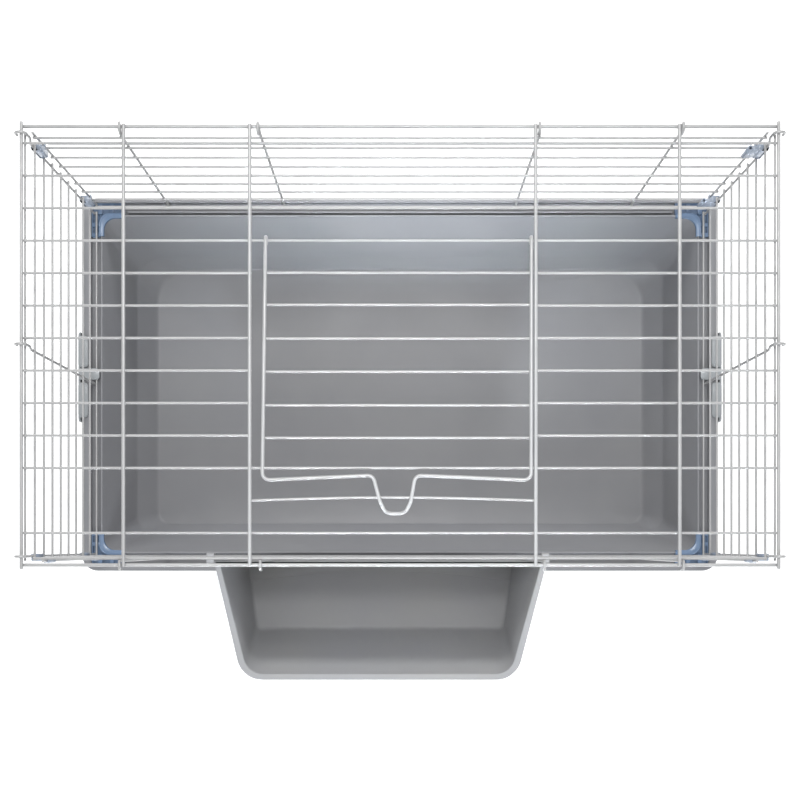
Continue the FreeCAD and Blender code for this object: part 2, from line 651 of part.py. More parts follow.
def bracket_cells(leg_start_x, leg_start_y):
    """Open cells along both legs of the bracket's channel part."""
    in_x, in_y = (half + BRACKET_GAP + BRACKET_WALL for half in CHANNEL_IN_HALF)
    out_x, out_y = (half - BRACKET_GAP - BRACKET_WALL for half in CHANNEL_OUT_HALF)
    low = CHANNEL_FLOOR + BRACKET_WALL
    high = CHANNEL_FLOOR + BRACKET_HEIGHT + 1
    pitch_x = (in_x - BRACKET_FOOT_WALL - leg_start_x) / BRACKET_CELLS
    pitch_y = (in_y - BRACKET_FOOT_WALL - leg_start_y) / BRACKET_CELLS
    cells = []
    for index in range(BRACKET_CELLS):
        cell_x = leg_start_x + pitch_x * index
        cell_y = leg_start_y + pitch_y * index
        cells.append(box((cell_x + BRACKET_RUNG, in_y, low), (cell_x + pitch_x, out_y, high)))
        cells.append(box((in_x, cell_y + BRACKET_RUNG, low), (out_x, cell_y + pitch_y, high)))
    return cells


def corner_bracket(side, is_back):
    """Plastic foot in a corner of the channel; the walls' end uprights stand in it.

    Its inner wall rises above the rim and ends in a skirt that hangs down inside the tray.
    """
    in_half = tuple(half + BRACKET_GAP for half in CHANNEL_IN_HALF)
    out_half = tuple(half - BRACKET_GAP for half in CHANNEL_OUT_HALF)
    base = CHANNEL_FLOOR
    over_rim = TRAY_HEIGHT + BRACKET_GAP
    lip_top = over_rim + BRACKET_LIP
    top = over_rim + BRACKET_WALL
    wall_half = shrunk(in_half, -BRACKET_WALL)
    skirt_z = TRAY_HEIGHT - BRACKET_SKIRT
    skirt_out = shrunk(tray_inside_half(skirt_z), BRACKET_GAP)
    skirt_in = shrunk(skirt_out, BRACKET_LIP)
    corner = CHANNEL_CORNERS[0]
    bracket = ring(in_half, corner, out_half, CHANNEL_CORNERS[1], base, base + BRACKET_HEIGHT)
    bracket = bracket.fuse(ring(in_half, corner, wall_half, corner, base, top))
    bracket = bracket.fuse(ring(skirt_in, INNER_TOP_CORNER, wall_half, corner, over_rim, lip_top))
    bracket = bracket.fuse(ring(skirt_in, INNER_TOP_CORNER, skirt_out, INNER_TOP_CORNER, skirt_z, lip_top))
    leg_start_x = out_half[0] - BRACKET_LEG
    leg_start_y = out_half[1] - BRACKET_LEG
    bracket = bracket.common(box((leg_start_x, leg_start_y, 0), (TRAY_HALF[0], TRAY_HALF[1], ROOF_HEIGHT)))
    for cell in bracket_cells(leg_start_x, leg_start_y):
        bracket = bracket.cut(cell)
    if not is_back:
        bracket = bracket.mirror(Vector(0, 0, 0), Vector(0, 1, 0))
    if side < 0:
        bracket = mirrored(bracket)
    reach = UPRIGHT_RADIUS + BRACKET_WIRE_CLEARANCE
    for x, y in corner_uprights(side, is_back):
        bracket = bracket.cut(box((x - reach, y - reach, base - 1), (x + reach, y + reach, top + 1)))
    return bracket.removeSplitter()


# ---------------------------------------------------------------- trough
def trough_outline(back_x, front_x, back_y, front_y, inset, corner, z):
    """Level outline of the trough: wide at the wall, narrower in front, round front corners."""
    left_back, right_back = back_x
    left_front, right_front = front_x
    corners = [(left_back + inset, back_y - min(inset, TROUGH_SKIN)), (left_front + inset, front_y + inset),
               (right_front - inset, front_y + inset), (right_back - inset, back_y - min(inset, TROUGH_SKIN))]
    return outline(corners, [TROUGH_BACK_CORNER, corner, corner, TROUGH_BACK_CORNER], z)


def make_trough():
    top_corner = TROUGH_LIP_CORNER - TROUGH_LIP
    bottom_z = TROUGH_FLOOR - TROUGH_SKIN
    top_back = (TROUGH_TOP_X[0] + TROUGH_LIP, TROUGH_TOP_X[1] - TROUGH_LIP)
    top_front = (TROUGH_TOP_FRONT_X[0] + TROUGH_LIP, TROUGH_TOP_FRONT_X[1] - TROUGH_LIP)
    top_front_y = TROUGH_FRONT_Y + TROUGH_LIP
    outside = loft([
        trough_outline(TROUGH_BOTTOM_X, TROUGH_BOTTOM_FRONT_X, TROUGH_BACK_Y, TROUGH_BOTTOM_FRONT_Y,
                       0.0, TROUGH_BOTTOM_CORNER, bottom_z),
        trough_outline(top_back, top_front, TROUGH_BACK_Y, top_front_y, 0.0, top_corner, TROUGH_TOP),
    ])
    inside = loft([
        trough_outline(TROUGH_BOTTOM_X, TROUGH_BOTTOM_FRONT_X, TROUGH_BACK_Y, TROUGH_BOTTOM_FRONT_Y,
                       TROUGH_SKIN, TROUGH_BOTTOM_CORNER - TROUGH_SKIN, TROUGH_FLOOR),
        trough_outline(top_back, top_front, TROUGH_BACK_Y, top_front_y, TROUGH_SKIN,
                       top_corner - TROUGH_SKIN, TROUGH_TOP + 0.01),
    ])
    lip = prism(trough_outline(TROUGH_TOP_X, TROUGH_TOP_FRONT_X, TROUGH_BACK_Y, TROUGH_FRONT_Y,
                               0.0, TROUGH_LIP_CORNER, TROUGH_TOP - TROUGH_SKIN), TROUGH_SKIN)
    trough = outside.fuse(lip).cut(inside)
    trough = trough.fuse(trough_step())
    strip = box((HANGER_X[0], TROUGH_BACK_Y - HANGER_SHEET, TROUGH_TOP - HANGER_STRIP),
                (HANGER_X[1] + HANGER_WIDTH, TROUGH_BACK_Y, TROUGH_TOP))
    trough = trough.fuse(strip)
    for hanger_x in HANGER_X:
        trough = trough.fuse(trough_hanger(hanger_x))
    return trough.removeSplitter()


def trough_step():
    """Low step behind an arched edge along the back of the trough's floor."""
    z = TROUGH_FLOOR - STEP_ROOT
    left_x = TROUGH_BOTTOM_X[0] + STEP_ROOT
    right_x = TROUGH_BOTTOM_X[1] - STEP_ROOT
    back_y = TROUGH_BACK_Y - STEP_ROOT
    left_end = Vector(left_x, STEP_END_Y, z)
    right_end = Vector(right_x, STEP_END_Y, z)
    middle = Vector((left_x + right_x) / 2, STEP_MIDDLE_Y, z)
    edges = [Part.Arc(left_end, middle, right_end).toShape(),
             Part.LineSegment(right_end, Vector(right_x, back_y, z)).toShape(),
             Part.LineSegment(Vector(right_x, back_y, z), Vector(left_x, back_y, z)).toShape(),
             Part.LineSegment(Vector(left_x, back_y, z), left_end).toShape()]
    return prism(Part.Wire(edges), STEP_ROOT + STEP_HEIGHT)


def trough_hanger(low_x):
    """Hook that goes over a bar of the front wall."""
    bar_z = row_height(HANGING_ROW)
    reach = BAR_RADIUS + HANGER_CLEARANCE
    under_z = bar_z + reach
    top_z = under_z + HANGER_SHEET
    low_z = TROUGH_TOP - HANGER_STRIP
    tail_z = bar_z - BAR_RADIUS - HANGER_TAIL
    outer_y = TROUGH_BACK_Y - HANGER_SHEET
    inner_y = FRONT_WALL_Y + reach
    tip_y = inner_y + HANGER_SHEET
    profile = [(outer_y, low_z), (outer_y, top_z), (tip_y, top_z), (tip_y, tail_z),
               (inner_y, tail_z), (inner_y, under_z), (TROUGH_BACK_Y, under_z), (TROUGH_BACK_Y, low_z)]
    points = [Vector(low_x, y, z) for y, z in profile]
    top_bend, tip_bend = HANGER_BENDS
    wire = Part.Wire(rounded_path(points, [0, top_bend, top_bend, tip_bend, tip_bend, 0, 0, 0], True))
    return Part.Face(wire).extrude(Vector(HANGER_WIDTH, 0, 0))


# ---------------------------------------------------------------- the whole hutch
def write_all():
    os.makedirs("parts", exist_ok=True)
    save("tray", [make_tray()])
    right_latch = make_right_latch()
    save("right_latch", [right_latch])
    save("left_latch", [mirrored(right_latch)])

    save("left_wall_bars", side_bars(-1))
    save("left_wall_uprights", side_uprights(-1))
    save("right_wall_bars", side_bars(1))
    save("right_wall_uprights", side_uprights(1))
    save("back_wall_bars", back_bars())
    save("back_wall_uprights", back_uprights())
    save("front_wall_bars", level_bars(FRONT_END_UPRIGHT_X + FRONT_BAR_OVERHANG, FRONT_WALL_Y))
    save("front_wall_uprights", front_uprights())

    save("roof_edge_wires", roof_edge_wires())
    save("roof_cross_wires", roof_cross_wires())
    save("roof_full_bars", roof_full_bars())
    save("roof_left_short_bars", roof_short_bars(-1))
    save("roof_right_short_bars", roof_short_bars(1))

    save("door_left_wire", [door_side_wire(DOOR_LEFT_X[0], LEFT_RUN)])
    save("door_right_wire", [door_side_wire(DOOR_RIGHT_X[0], RIGHT_RUN)])
    save("door_front_wires", door_front_wires())
    save("door_latch_loop", [door_loop()])
    save("door_bars", door_bars())

    upper_clip_z, lower_clip_z = (row_height(row) + BAR_RADIUS + CLIP_ABOVE_BAR for row in CLIP_ROWS)
    for side, side_name in ((-1, "left"), (1, "right")):
        for is_back, end_name in ((True, "back"), (False, "front")):
            corner_name = end_name + "_" + side_name
            save("upper_clip_" + corner_name, [corner_clip(side, is_back, upper_clip_z)])
            save("lower_clip_" + corner_name, [corner_clip(side, is_back, lower_clip_z)])
            save("corner_bracket_" + corner_name, [corner_bracket(side, is_back)])

    save("feeder_trough", [make_trough()])


write_all()
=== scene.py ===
import json
from math import asin, cos, dist, pi, radians, sin, sqrt, tan, tau
from random import Random

import bmesh
import bpy
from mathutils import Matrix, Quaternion, Vector
from mathutils.geometry import intersect_line_line


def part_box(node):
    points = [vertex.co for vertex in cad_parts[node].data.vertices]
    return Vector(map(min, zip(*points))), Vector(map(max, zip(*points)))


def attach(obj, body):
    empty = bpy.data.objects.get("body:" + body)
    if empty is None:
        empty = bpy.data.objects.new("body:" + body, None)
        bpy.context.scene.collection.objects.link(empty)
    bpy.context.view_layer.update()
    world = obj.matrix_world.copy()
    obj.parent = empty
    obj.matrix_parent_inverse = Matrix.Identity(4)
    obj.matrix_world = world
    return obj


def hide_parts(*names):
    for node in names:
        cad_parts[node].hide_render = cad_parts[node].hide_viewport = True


# The looks of a wire-topped indoor rabbit hutch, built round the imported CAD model.
# Metres, +Z up, +X right along the long side; the front, with the trough, faces -Y.

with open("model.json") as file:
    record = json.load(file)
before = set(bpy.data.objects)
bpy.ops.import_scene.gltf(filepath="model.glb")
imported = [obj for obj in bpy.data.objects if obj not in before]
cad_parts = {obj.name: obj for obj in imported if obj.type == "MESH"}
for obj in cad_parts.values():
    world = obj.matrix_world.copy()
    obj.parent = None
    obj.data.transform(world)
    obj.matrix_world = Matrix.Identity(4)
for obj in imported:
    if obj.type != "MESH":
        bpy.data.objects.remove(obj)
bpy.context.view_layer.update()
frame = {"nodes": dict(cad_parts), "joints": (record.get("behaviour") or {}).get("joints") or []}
random = Random(7)

HUTCH = "hutch"
DOOR = "roof_door"
FEEDER = "feeder"
SIDES = ((-1, "left"), (1, "right"))
ENDS = ("back", "front")

# ---------------- dimensions
WIRE_SIDES = 14
BEND_STEPS = 7
CORNER_STEPS = 9
SMALL_STEPS = 2  # steps in the corners of small plans
SOFT_SHARE = 0.49  # softening never takes up more of a run between two corners than this
ROUND_STEPS = 4  # steps in the softened corners of a moulding's section
SECTION_STEPS = 5  # steps in the corners of small sections

# how far edges are softened
FINE_EDGE = 0.0003
SMALL_EDGE = 0.0004
BROAD_EDGE = 0.0005

# welds: half size, how much less it is along the line between the wires, how far apart wires still meet
WELD_SIZE = 0.0015
WELD_FLAT = 0.0007
WELD_REACH = 0.0004

BOWED_FROM = 1.5  # a bar wider than this many times its height is the bowed one
HOOKED_FROM = 3  # an upright deeper than this many radii has a hook
SAME_PLACE = 0.001  # ends of a wire that runs along Y are this near each other in X

# uprights: where and how softly they lean or are cranked below the top bar
LEAN_START = 0.004
LEAN_BEND = 0.012
CRANK_BEND = 0.008
CRANK_TOP_DROP = 0.005
# hook's bend radius, how far its tip leans away, drop of the tip below the roof's edge wires
HOOKS = {
    "side": (0.0046, 0.0006, 0.0020),
    "back": (0.0044, 0.0006, 0.0035),
    "front": (0.0038, 0.0006, 0.0040),
}

# door frame
DOOR_TAPER = (0.0031, 0.0004)  # left and right side wires lean outwards towards the front
DOOR_CORNER = 0.007
DOOR_RISE = 0.0048  # the front wires slope back towards the loop
CURL_TURN = radians(240)
CURL_STEPS = 18
LOOP_LEGS = (-0.0266, 0.0150)  # where the front wires turn into the loop's legs
LOOP_KNEES = (-0.0196, 0.0106)
LOOP_ENDS = (-0.0140, 0.0050)
LOOP_DROP = 0.0115
LOOP_BENDS = (0.007, 0.005, 0.009, 0.009, 0.005, 0.007)

# tray: every plan size is given as the distance in from the rim's outer edge, along X and along Y
FLOOR_INSET = (0.069, 0.0595)
BAND_INSET = (0.047, 0.0495)
INSIDE_TOP_INSET = (0.026, 0.0235)
CHANNEL_IN_INSET = (0.024, 0.0215)
CHANNEL_OUT_INSET = (0.012, 0.0065)
FLOOR_THICKNESS = 0.0025
SKIN = 0.0022
BAND_HEIGHT = 0.028
CHANNEL_DEPTH = 0.0065
CHANNEL_RIB_X = 0.333  # rib along the back of the channel
CHANNEL_RIB_Y = (0.2095, 0.2122)
CHANNEL_RIB_BELOW = 0.0014
RIM_DEPTH = 0.012
FLOOR_CORNERS = (0.015, 0.045)  # corner radius at the front and at the back
BAND_CORNERS = (0.020, 0.036)
INSIDE_TOP_CORNER = 0.014
CHANNEL_CORNERS = (0.012, 0.006)
RIM_CORNER = 0.020
FLOOR_CROWN = 0.0006  # the middle of the floor is moulded very slightly high
FLOOR_RINGS = (0.75, 0.5, 0.25)  # the floor's rings, as shares of the way from its edge to its middle
UNDERSIDE_INSET = 0.1  # from the floor's edge to the ring that closes the underside
RIB_SINK = 0.001  # how far the rib starts below the channel's floor

EAR_RADIUS = 0.0040
EAR_WIDTH = 0.004
EAR_ROOT = 0.0162  # from the band's edge to the middle of the wall behind the ears
EAR_LEAN = 0.00085  # the wall leans out by this over an ear's radius
EARS_Y = (-0.024, 0.038)
EAR_STEPS = 24
EAR_HOLE = 1.03  # the ear's hole against the pin
PIN_RADIUS = 0.0022
PIN_SIDES = 20
PIN_END = 0.003  # how far the pin stands out of the ears

# latches: depths are measured from the outer face, heights from the upper edge
PLATE_THICKNESS = 0.0026
PLATE_CORNERS = (0.014, 0.005)
PLATE_BELOW_CATCH = 0.0012
PLATE_EDGE = 0.0009
LOBE_DEPTH = 0.0125
LOBE_THICKNESS = 0.0034
LOBE_STATIONS = (0.0, 0.012, 0.04, 0.10, 0.35, 0.65, 0.90, 0.96, 0.988, 1.0)
LOBE_END = 0.10  # share of a lobe's length in which its end is rounded
LOBE_END_DEPTH = 0.0022
LOBE_END_POWER = 2.5
LOBE_END_SIDES = (1.6, 0.7)  # the ends' rounding on the inner and outer side, against that on top
LOBE_DIP = 0.0004  # the inner edge is a little lower than the outer one
LOBE_FLAT = 0.004
LOBE_ROOT = 0.006  # how far the lobe goes down inside the plate
LOBE_SINK = 0.0002
LOBE_RADII = (0.0006, 0.0012, 0, 0.0024, 0, 0, 0)
NOTCH_Y = (0.002, 0.020)
CATCH_Y = (0.005, 0.019)
CATCH_BELOW_TOP = (0.0030, 0.0008)
CATCH_CORNER = 0.004
CATCH_SINK = 0.0008  # how far the catch starts inside the plate
WEB_SINK = 0.0006

# corner brackets
BRACKET_GAP = 0.0003
BRACKET_WALL = 0.0013
BRACKET_HEIGHT = 0.0042
BRACKET_SKIRT = 0.0032
BRACKET_LEG = 0.041
BRACKET_LIP = 0.0009
BRACKET_CELLS = 2
BRACKET_RUNG = 0.005
BRACKET_FOOT_WALL = 0.003
BRACKET_SKIRT_EDGE = (0.0006, 0.0005)
BRACKET_RIB_DROP = 0.0002  # the ribs stay below the lip by this

# clips
CLIP_LOOP = 0.0030
CLIP_HOLE = 0.0017
CLIP_MOUTH = 0.00105
CLIP_CORNER = 0.002
FRONT_CLIP_CORNER = 0.001
CLIP_STEPS = 5  # steps in a block's corners
LOOP_STEPS = 20
LEVEL_WITHIN = 1e-5  # points of a block's edge are level with it within this
FOOT_HEIGHT = 0.0005  # points this near its lower end belong to an upright's foot
FINGER_SINK = 0.001
FINGER_GAP = 0.0002
CLIP_BACK_Y = 0.2138  # back face of the clips in the back corners
CLIP_FINGER_HEIGHT = 0.0035
CLIP_FINGER_HALF = 0.002
FRONT_CLIP_Y = -0.213  # front face of the clips in the front corners
FRONT_CLIP_X = 0.376  # their outer face
BACK_CLIP_X = (0.366, 0.376)
SPARE_LOOP = (0.3575, 0.2082)  # one more, empty loop on the right clips of the back wall
SPARE_LOOP_RADII = (0.0014, 0.0027)
SPARE_LOOP_STEPS = 28
SPARE_ARM = 0.8  # half the arm's width against the loop's outer radius

# trough
TROUGH_SKIN = 0.0025
TROUGH_LIP = 0.0040
TROUGH_LIP_CORNER = 0.028
TROUGH_BOTTOM_CORNER = 0.010
TROUGH_BACK_CORNER = 0.002
TROUGH_BACK_Y = -0.2146
TROUGH_BOTTOM_FRONT_Y = -0.2992
TROUGH_TOP_X = (-0.2040, 0.1612)
TROUGH_TOP_FRONT_X = (-0.1733, 0.1273)
TROUGH_BOTTOM_X = (-0.1825, 0.1360)
TROUGH_BOTTOM_FRONT_X = (-0.1733, 0.1259)
TROUGH_TOP = 0.281
STEP_END_Y = -0.2400
STEP_MIDDLE_Y = -0.2273
STEP_HEIGHT = 0.0020
STEP_SIDE_GAP = 0.0012
STEP_ARCH_STEPS = 28
STEP_ARCH_POWER = 0.9  # below 1 the arch is fuller than a sine
STEP_SINK = 0.001
STEP_EDGE = 0.0006
TROUGH_MIDDLE_INSET = 0.03  # from the floor's edge to the rings that close it
TROUGH_MIDDLE_CORNER = 0.006
HANGER_SHEET = 0.0026
HANGER_STRIP = 0.013
HANGER_WIDTH = 0.008
HANGER_TAIL = 0.00815  # how far the hooks' tails reach below the wire's centre
HANGER_RADII = (0.0004, 0.0022, 0.0022, 0.0008, 0.0008, 0.0004, 0.0004, 0.0004)
STRIP_CORNER = 0.0008
STRIP_STEPS = 3

# meshes
MERGE_DISTANCE = 1e-7
CAD_MERGE_DISTANCE = 1e-6
CORNER_DECIMALS = 4  # corners are sorted to a tenth of a millimetre
EDGE_MIDDLE = 0.3  # where the middle of a softened edge is, against the edge's size
WIRE_END = 0.3  # chamfer of a cut end against the wire's radius
SHARP_ANGLE = 38  # edges above this many degrees are drawn sharp
SHARP_SMALL_PART_ANGLE = 50
BEAD_HEIGHTS = (-0.9, -0.45, 0.1, 0.6, 0.95)
BEAD_SIDES = 8
BEAD_SWELL = (0.85, 1.1)
WELD_SPREAD = (0.85, 1.15)


# ---------------- paths and outlines
def corner_arc(before, corner, after, radius, steps):
    """Points of the tangent arc that rounds one corner of a path."""
    to_before = (before - corner).normalized()
    to_after = (after - corner).normalized()
    half_angle = to_before.angle(to_after) / 2
    start = corner + to_before * (radius / tan(half_angle))
    end = corner + to_after * (radius / tan(half_angle))
    centre = corner + (to_before + to_after).normalized() * (radius / sin(half_angle))
    turn = (start - centre).rotation_difference(end - centre)
    points = []
    for step in range(steps + 1):
        points.append(centre + Quaternion().slerp(turn, step / steps) @ (start - centre))
    return points


def rounded_path(points, radii, steps, closed):
    """Points along straight runs, with a tangent arc at each corner."""
    count = len(points)
    path = []
    for index, point in enumerate(points):
        is_end = not closed and index in (0, count - 1)
        if is_end or radii[index] == 0:
            path.append(point)
        else:
            path += corner_arc(points[index - 1], point, points[(index + 1) % count], radii[index], steps)
    return path


def flat_outline(corners, radii, steps=CORNER_STEPS):
    """Closed outline in two dimensions."""
    points = [Vector((u, v, 0)) for u, v in corners]
    return [(point.x, point.y) for point in rounded_path(points, radii, steps, True)]


def rectangle(low, high, radii, steps=CORNER_STEPS):
    corners = [(low[0], low[1]), (high[0], low[1]), (high[0], high[1]), (low[0], high[1])]
    return flat_outline(corners, radii, steps)


def inset(outline, amount):
    """An anticlockwise outline moved inwards by an amount."""
    count = len(outline)
    moved = []
    for index in range(count):
        here = Vector(outline[index])
        before = here - Vector(outline[index - 1])
        after = Vector(outline[(index + 1) % count]) - here
        normals = [Vector((-edge.y, edge.x)).normalized() for edge in (before, after)]
        inward = (normals[0] + normals[1]) / (1 + normals[0].dot(normals[1]))
        moved.append(tuple(here + inward * amount))
    return moved


# ---------------- meshes
class Shape:
    """Points and faces of one piece, gathered before its mesh is made."""

    def __init__(self):
        self.points = []
        self.faces = []

    def skin(self, rings, wrap=False):
        """Faces between closed rings of equally many points, with closed ends unless it wraps round."""
        start = len(self.points)
        count = len(rings[0])
        total = len(rings)
        for ring in rings:
            self.points.extend(ring)
        for index in range(total if wrap else total - 1):
            low = start + index * count
            high = start + (index + 1) % total * count
            for corner in range(count):
                after = (corner + 1) % count
                self.faces.append((low + corner, low + after, high + after, high + corner))
        if not wrap:
            self.faces.append(tuple(reversed(range(start, start + count))))
            last = start + (total - 1) * count
            self.faces.append(tuple(range(last, last + count)))

    def tube(self, path, radius, sides=WIRE_SIDES):
        """Round wire along a path, its cut ends slightly rounded."""
        runs = [(after - before).normalized() for before, after in zip(path, path[1:])]
        tangents = [runs[0]] + [(a + b).normalized() for a, b in zip(runs, runs[1:])] + [runs[-1]]
        chamfer = radius * WIRE_END
        stations = [(path[0], tangents[0], radius - chamfer),
                    (path[0] + runs[0] * chamfer, tangents[0], radius)]
        stations += [(point, tangent, radius) for point, tangent in zip(path[1:-1], tangents[1:-1])]
        stations += [(path[-1] - runs[-1] * chamfer, tangents[-1], radius),
                     (path[-1], tangents[-1], radius - chamfer)]
        normal = tangents[0].orthogonal().normalized()
        last_tangent = tangents[0]
        rings = []
        for point, tangent, ring_radius in stations:
            normal = last_tangent.rotation_difference(tangent) @ normal
            last_tangent = tangent
            across = tangent.cross(normal)
            ring = []
            for side in range(sides):
                angle = tau * side / sides
                ring.append(point + (normal * cos(angle) + across * sin(angle)) * ring_radius)
            rings.append(ring)
        self.skin(rings)

    def prism(self, outline, low, high, edge, place):
        """Solid over an outline, with softened edges; place puts (u, v, level) into space."""
        near = edge * EDGE_MIDDLE
        levels = [(low, edge), (low + near, near), (low + edge, 0),
                  (high - edge, 0), (high - near, near), (high, edge)]
        rings = []
        for level, amount in levels:
            rings.append([place(u, v, level) for u, v in inset(outline, amount)])
        self.skin(rings)

    def bead(self, centre, sizes):
        """Small uneven drop of weld metal."""
        rings = []
        for height in BEAD_HEIGHTS:
            reach = sqrt(1 - height * height)
            ring = []
            for step in range(BEAD_SIDES):
                angle = tau * step / BEAD_SIDES
                swell = random.uniform(*BEAD_SWELL)
                offset = (cos(angle) * reach * swell, sin(angle) * reach * swell, height)
                ring.append(centre + Vector([part * size for part, size in zip(offset, sizes)]))
            rings.append(ring)
        self.skin(rings)


def upright(side=1, facing=1):
    """Puts (u, v, level) into space as X, Y and height; -1 mirrors X (side) or Y (facing)."""
    return lambda u, v, level: Vector((side * u, facing * v, level))


def add_piece(name, shape, body, slot, replaced=(), sharp=SHARP_ANGLE):
    """Makes the mesh, gives it the slot's material, hangs it on its body's empty and hides the CAD parts it
    replaces.
    """
    mesh = bpy.data.meshes.new(name)
    mesh.from_pydata(shape.points, [], shape.faces)
    work = bmesh.new()
    work.from_mesh(mesh)
    bmesh.ops.remove_doubles(work, verts=work.verts, dist=MERGE_DISTANCE)
    bmesh.ops.recalc_face_normals(work, faces=work.faces)
    work.to_mesh(mesh)
    work.free()
    mesh.shade_smooth()
    mesh.set_sharp_from_angle(angle=radians(sharp))
    mesh.materials.append(LOOKS[slot])
    piece = bpy.data.objects.new(name, mesh)
    bpy.context.collection.objects.link(piece)
    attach(piece, body)
    if replaced:
        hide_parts(*replaced)


# ---------------- materials
class Look:
    """A material and its node graph."""

    def __init__(self, name):
        self.material = bpy.data.materials.new(name)
        self.material.use_nodes = True
        self.tree = self.material.node_tree
        self.shader = self.tree.nodes["Principled BSDF"]
        self.place = self.add("ShaderNodeTexCoord").outputs["Object"]

    def add(self, kind, settings=None, **inputs):
        node = self.tree.nodes.new(kind)
        for key, value in (settings or {}).items():
            setattr(node, key, value)
        for key, value in inputs.items():
            self.feed(node, key.replace("_", " "), value)
        return node

    def feed(self, node, socket, value):
        if isinstance(value, bpy.types.NodeSocket):
            self.tree.links.new(value, node.inputs[socket])
        else:
            node.inputs[socket].default_value = value

    def put(self, socket, value):
        self.feed(self.shader, socket, value)

    def noise(self, scale, detail):
        """Noise over the object."""
        node = self.add("ShaderNodeTexNoise", Vector=self.place, Scale=scale, Detail=detail)
        return node.outputs["Fac"]

    def spread(self, value, low, high, to_low, to_high):
        """Value from low..high brought to to_low..to_high."""
        node = self.add("ShaderNodeMapRange", Value=value, From_Min=low, From_Max=high,
                        To_Min=to_low, To_Max=to_high)
        return node.outputs["Result"]

    def mix(self, share, first, second):
        node = self.add("ShaderNodeMix", {"data_type": "RGBA"})
        self.feed(node, 0, share)
        self.feed(node, 6, first)
        self.feed(node, 7, second)
        return node.outputs[2]

    def bump(self, height, strength, distance):
        node = self.add("ShaderNodeBump", Height=height, Strength=strength, Distance=distance)
        self.put("Normal", node.outputs["Normal"])


def shade(level, tint=(1, 1, 1)):
    return (level * tint[0], level * tint[1], level * tint[2], 1)


def plastic(name, colour, dusty, roughness, grain=0.12):
    """Moulded plastic: faint mottling, polish that varies slowly and a fine grain."""
    look = Look(name)
    cloud = look.spread(look.noise(9, 4), 0.35, 0.7, 0, 1)
    look.put("Base Color", look.mix(cloud, colour, dusty))
    fine = look.noise(900, 2)
    look.put("Roughness", look.spread(look.noise(14, 3), 0.2, 0.8, *roughness))
    look.put("Specular IOR Level", 0.35)
    look.bump(fine, grain, 0.0002)
    return look.material


def make_wire_look():
    """Zinc-plated steel with duller patches and a very fine grain."""
    look = Look("plated_wire")
    look.put("Metallic", 0.45)
    patches = look.spread(look.noise(30, 3), 0.3, 0.8, 0, 1)
    bright = shade(0.45)
    dull = shade(0.40, (1, 1, 1.01))
    look.put("Base Color", look.mix(patches, bright, dull))
    look.put("Roughness", look.spread(look.noise(60, 3), 0.2, 0.8, 0.34, 0.46))
    look.bump(look.noise(1400, 3), 0.06, 0.0001)
    return look.material


def make_clear_look(name, colour, deep, through):
    """Tinted plastic that lets a little light through."""
    look = Look(name)
    cloud = look.spread(look.noise(60, 3), 0.35, 0.65, 0, 1)
    look.put("Base Color", look.mix(cloud, colour, deep))
    look.put("Roughness", look.spread(look.noise(200, 3), 0.3, 0.7, 0.14, 0.25))
    look.put("Transmission Weight", through)
    look.put("IOR", 1.46)
    look.bump(look.noise(700, 2), 0.08, 0.0001)
    return look.material


LOOKS = {
    "wire": make_wire_look(),
    "tray_plastic": plastic(
        "tray_plastic", shade(0.225, (0.98, 0.99, 1.05)), shade(0.24, (0.99, 1, 1.04)), (0.30, 0.38)),
    "trough_plastic": plastic(
        "trough_plastic", shade(0.31, (0.99, 1, 1.04)), shade(0.325), (0.30, 0.40)),
    "latch_plastic": plastic(
        "latch_plastic", shade(0.30, (0.95, 1, 1.04)), shade(0.34, (0.95, 1, 1.04)), (0.12, 0.22), 0.06),
    "clip_plastic": make_clear_look(
        "clip_plastic", shade(0.42, (0.86, 0.97, 1.16)), shade(0.36, (0.84, 0.97, 1.18)), 0.05),
    "bracket_plastic": make_clear_look(
        "bracket_plastic", shade(0.25, (0.68, 0.97, 1.46)), shade(0.21, (0.66, 0.97, 1.48)), 0.10),
}


# ---------------- wires
def box_of(points):
    low = Vector([min(point[axis] for point in points) for axis in range(3)])
    high = Vector([max(point[axis] for point in points) for axis in range(3)])
    return low, high


def solid_points(node):
    """The points of each separate solid in a CAD node, sorted by the solids' lowest corners."""
    work = bmesh.new()
    work.from_mesh(frame["nodes"][node].data)
    bmesh.ops.remove_doubles(work, verts=work.verts, dist=CAD_MERGE_DISTANCE)
    left = set(work.verts)
    solids = []
    while left:
        group = [left.pop()]
        for vertex in group:
            for edge in vertex.link_edges:
                other = edge.other_vert(vertex)
                if other in left:
                    left.remove(other)
                    group.append(other)
        solids.append([vertex.co.copy() for vertex in group])
    work.free()
    solids.sort(key=lambda points: [round(part, CORNER_DECIMALS) for part in box_of(points)[0]])
    return solids


def solids_of(node):
    """(lowest, highest corner) of each separate solid in a CAD node."""
    return [box_of(points) for points in solid_points(node)]


def straight_wire(low, high):
    """([start, end], radius) of the wire that fills a long thin box."""
    size = high - low
    axis = max(range(3), key=lambda index: size[index])
    start = (low + high) / 2
    end = start.copy()
    start[axis] = low[axis]
    end[axis] = high[axis]
    return [start, end], min(size) / 2


def add_tubes(name, node, body, tubes, last=-1):
    """Wires from (path, radius) in place of a node; returns (start, end, radius), the end at path[last]."""
    shape = Shape()
    for path, radius in tubes:
        shape.tube(path, radius)
    add_piece(name, shape, body, "wire", [node])
    return [(path[0], path[last], radius) for path, radius in tubes]


def add_wires(name, node, body):
    """Smooth wires in place of a node of straight ones."""
    return add_tubes(name, node, body, [straight_wire(low, high) for low, high in solids_of(node)])


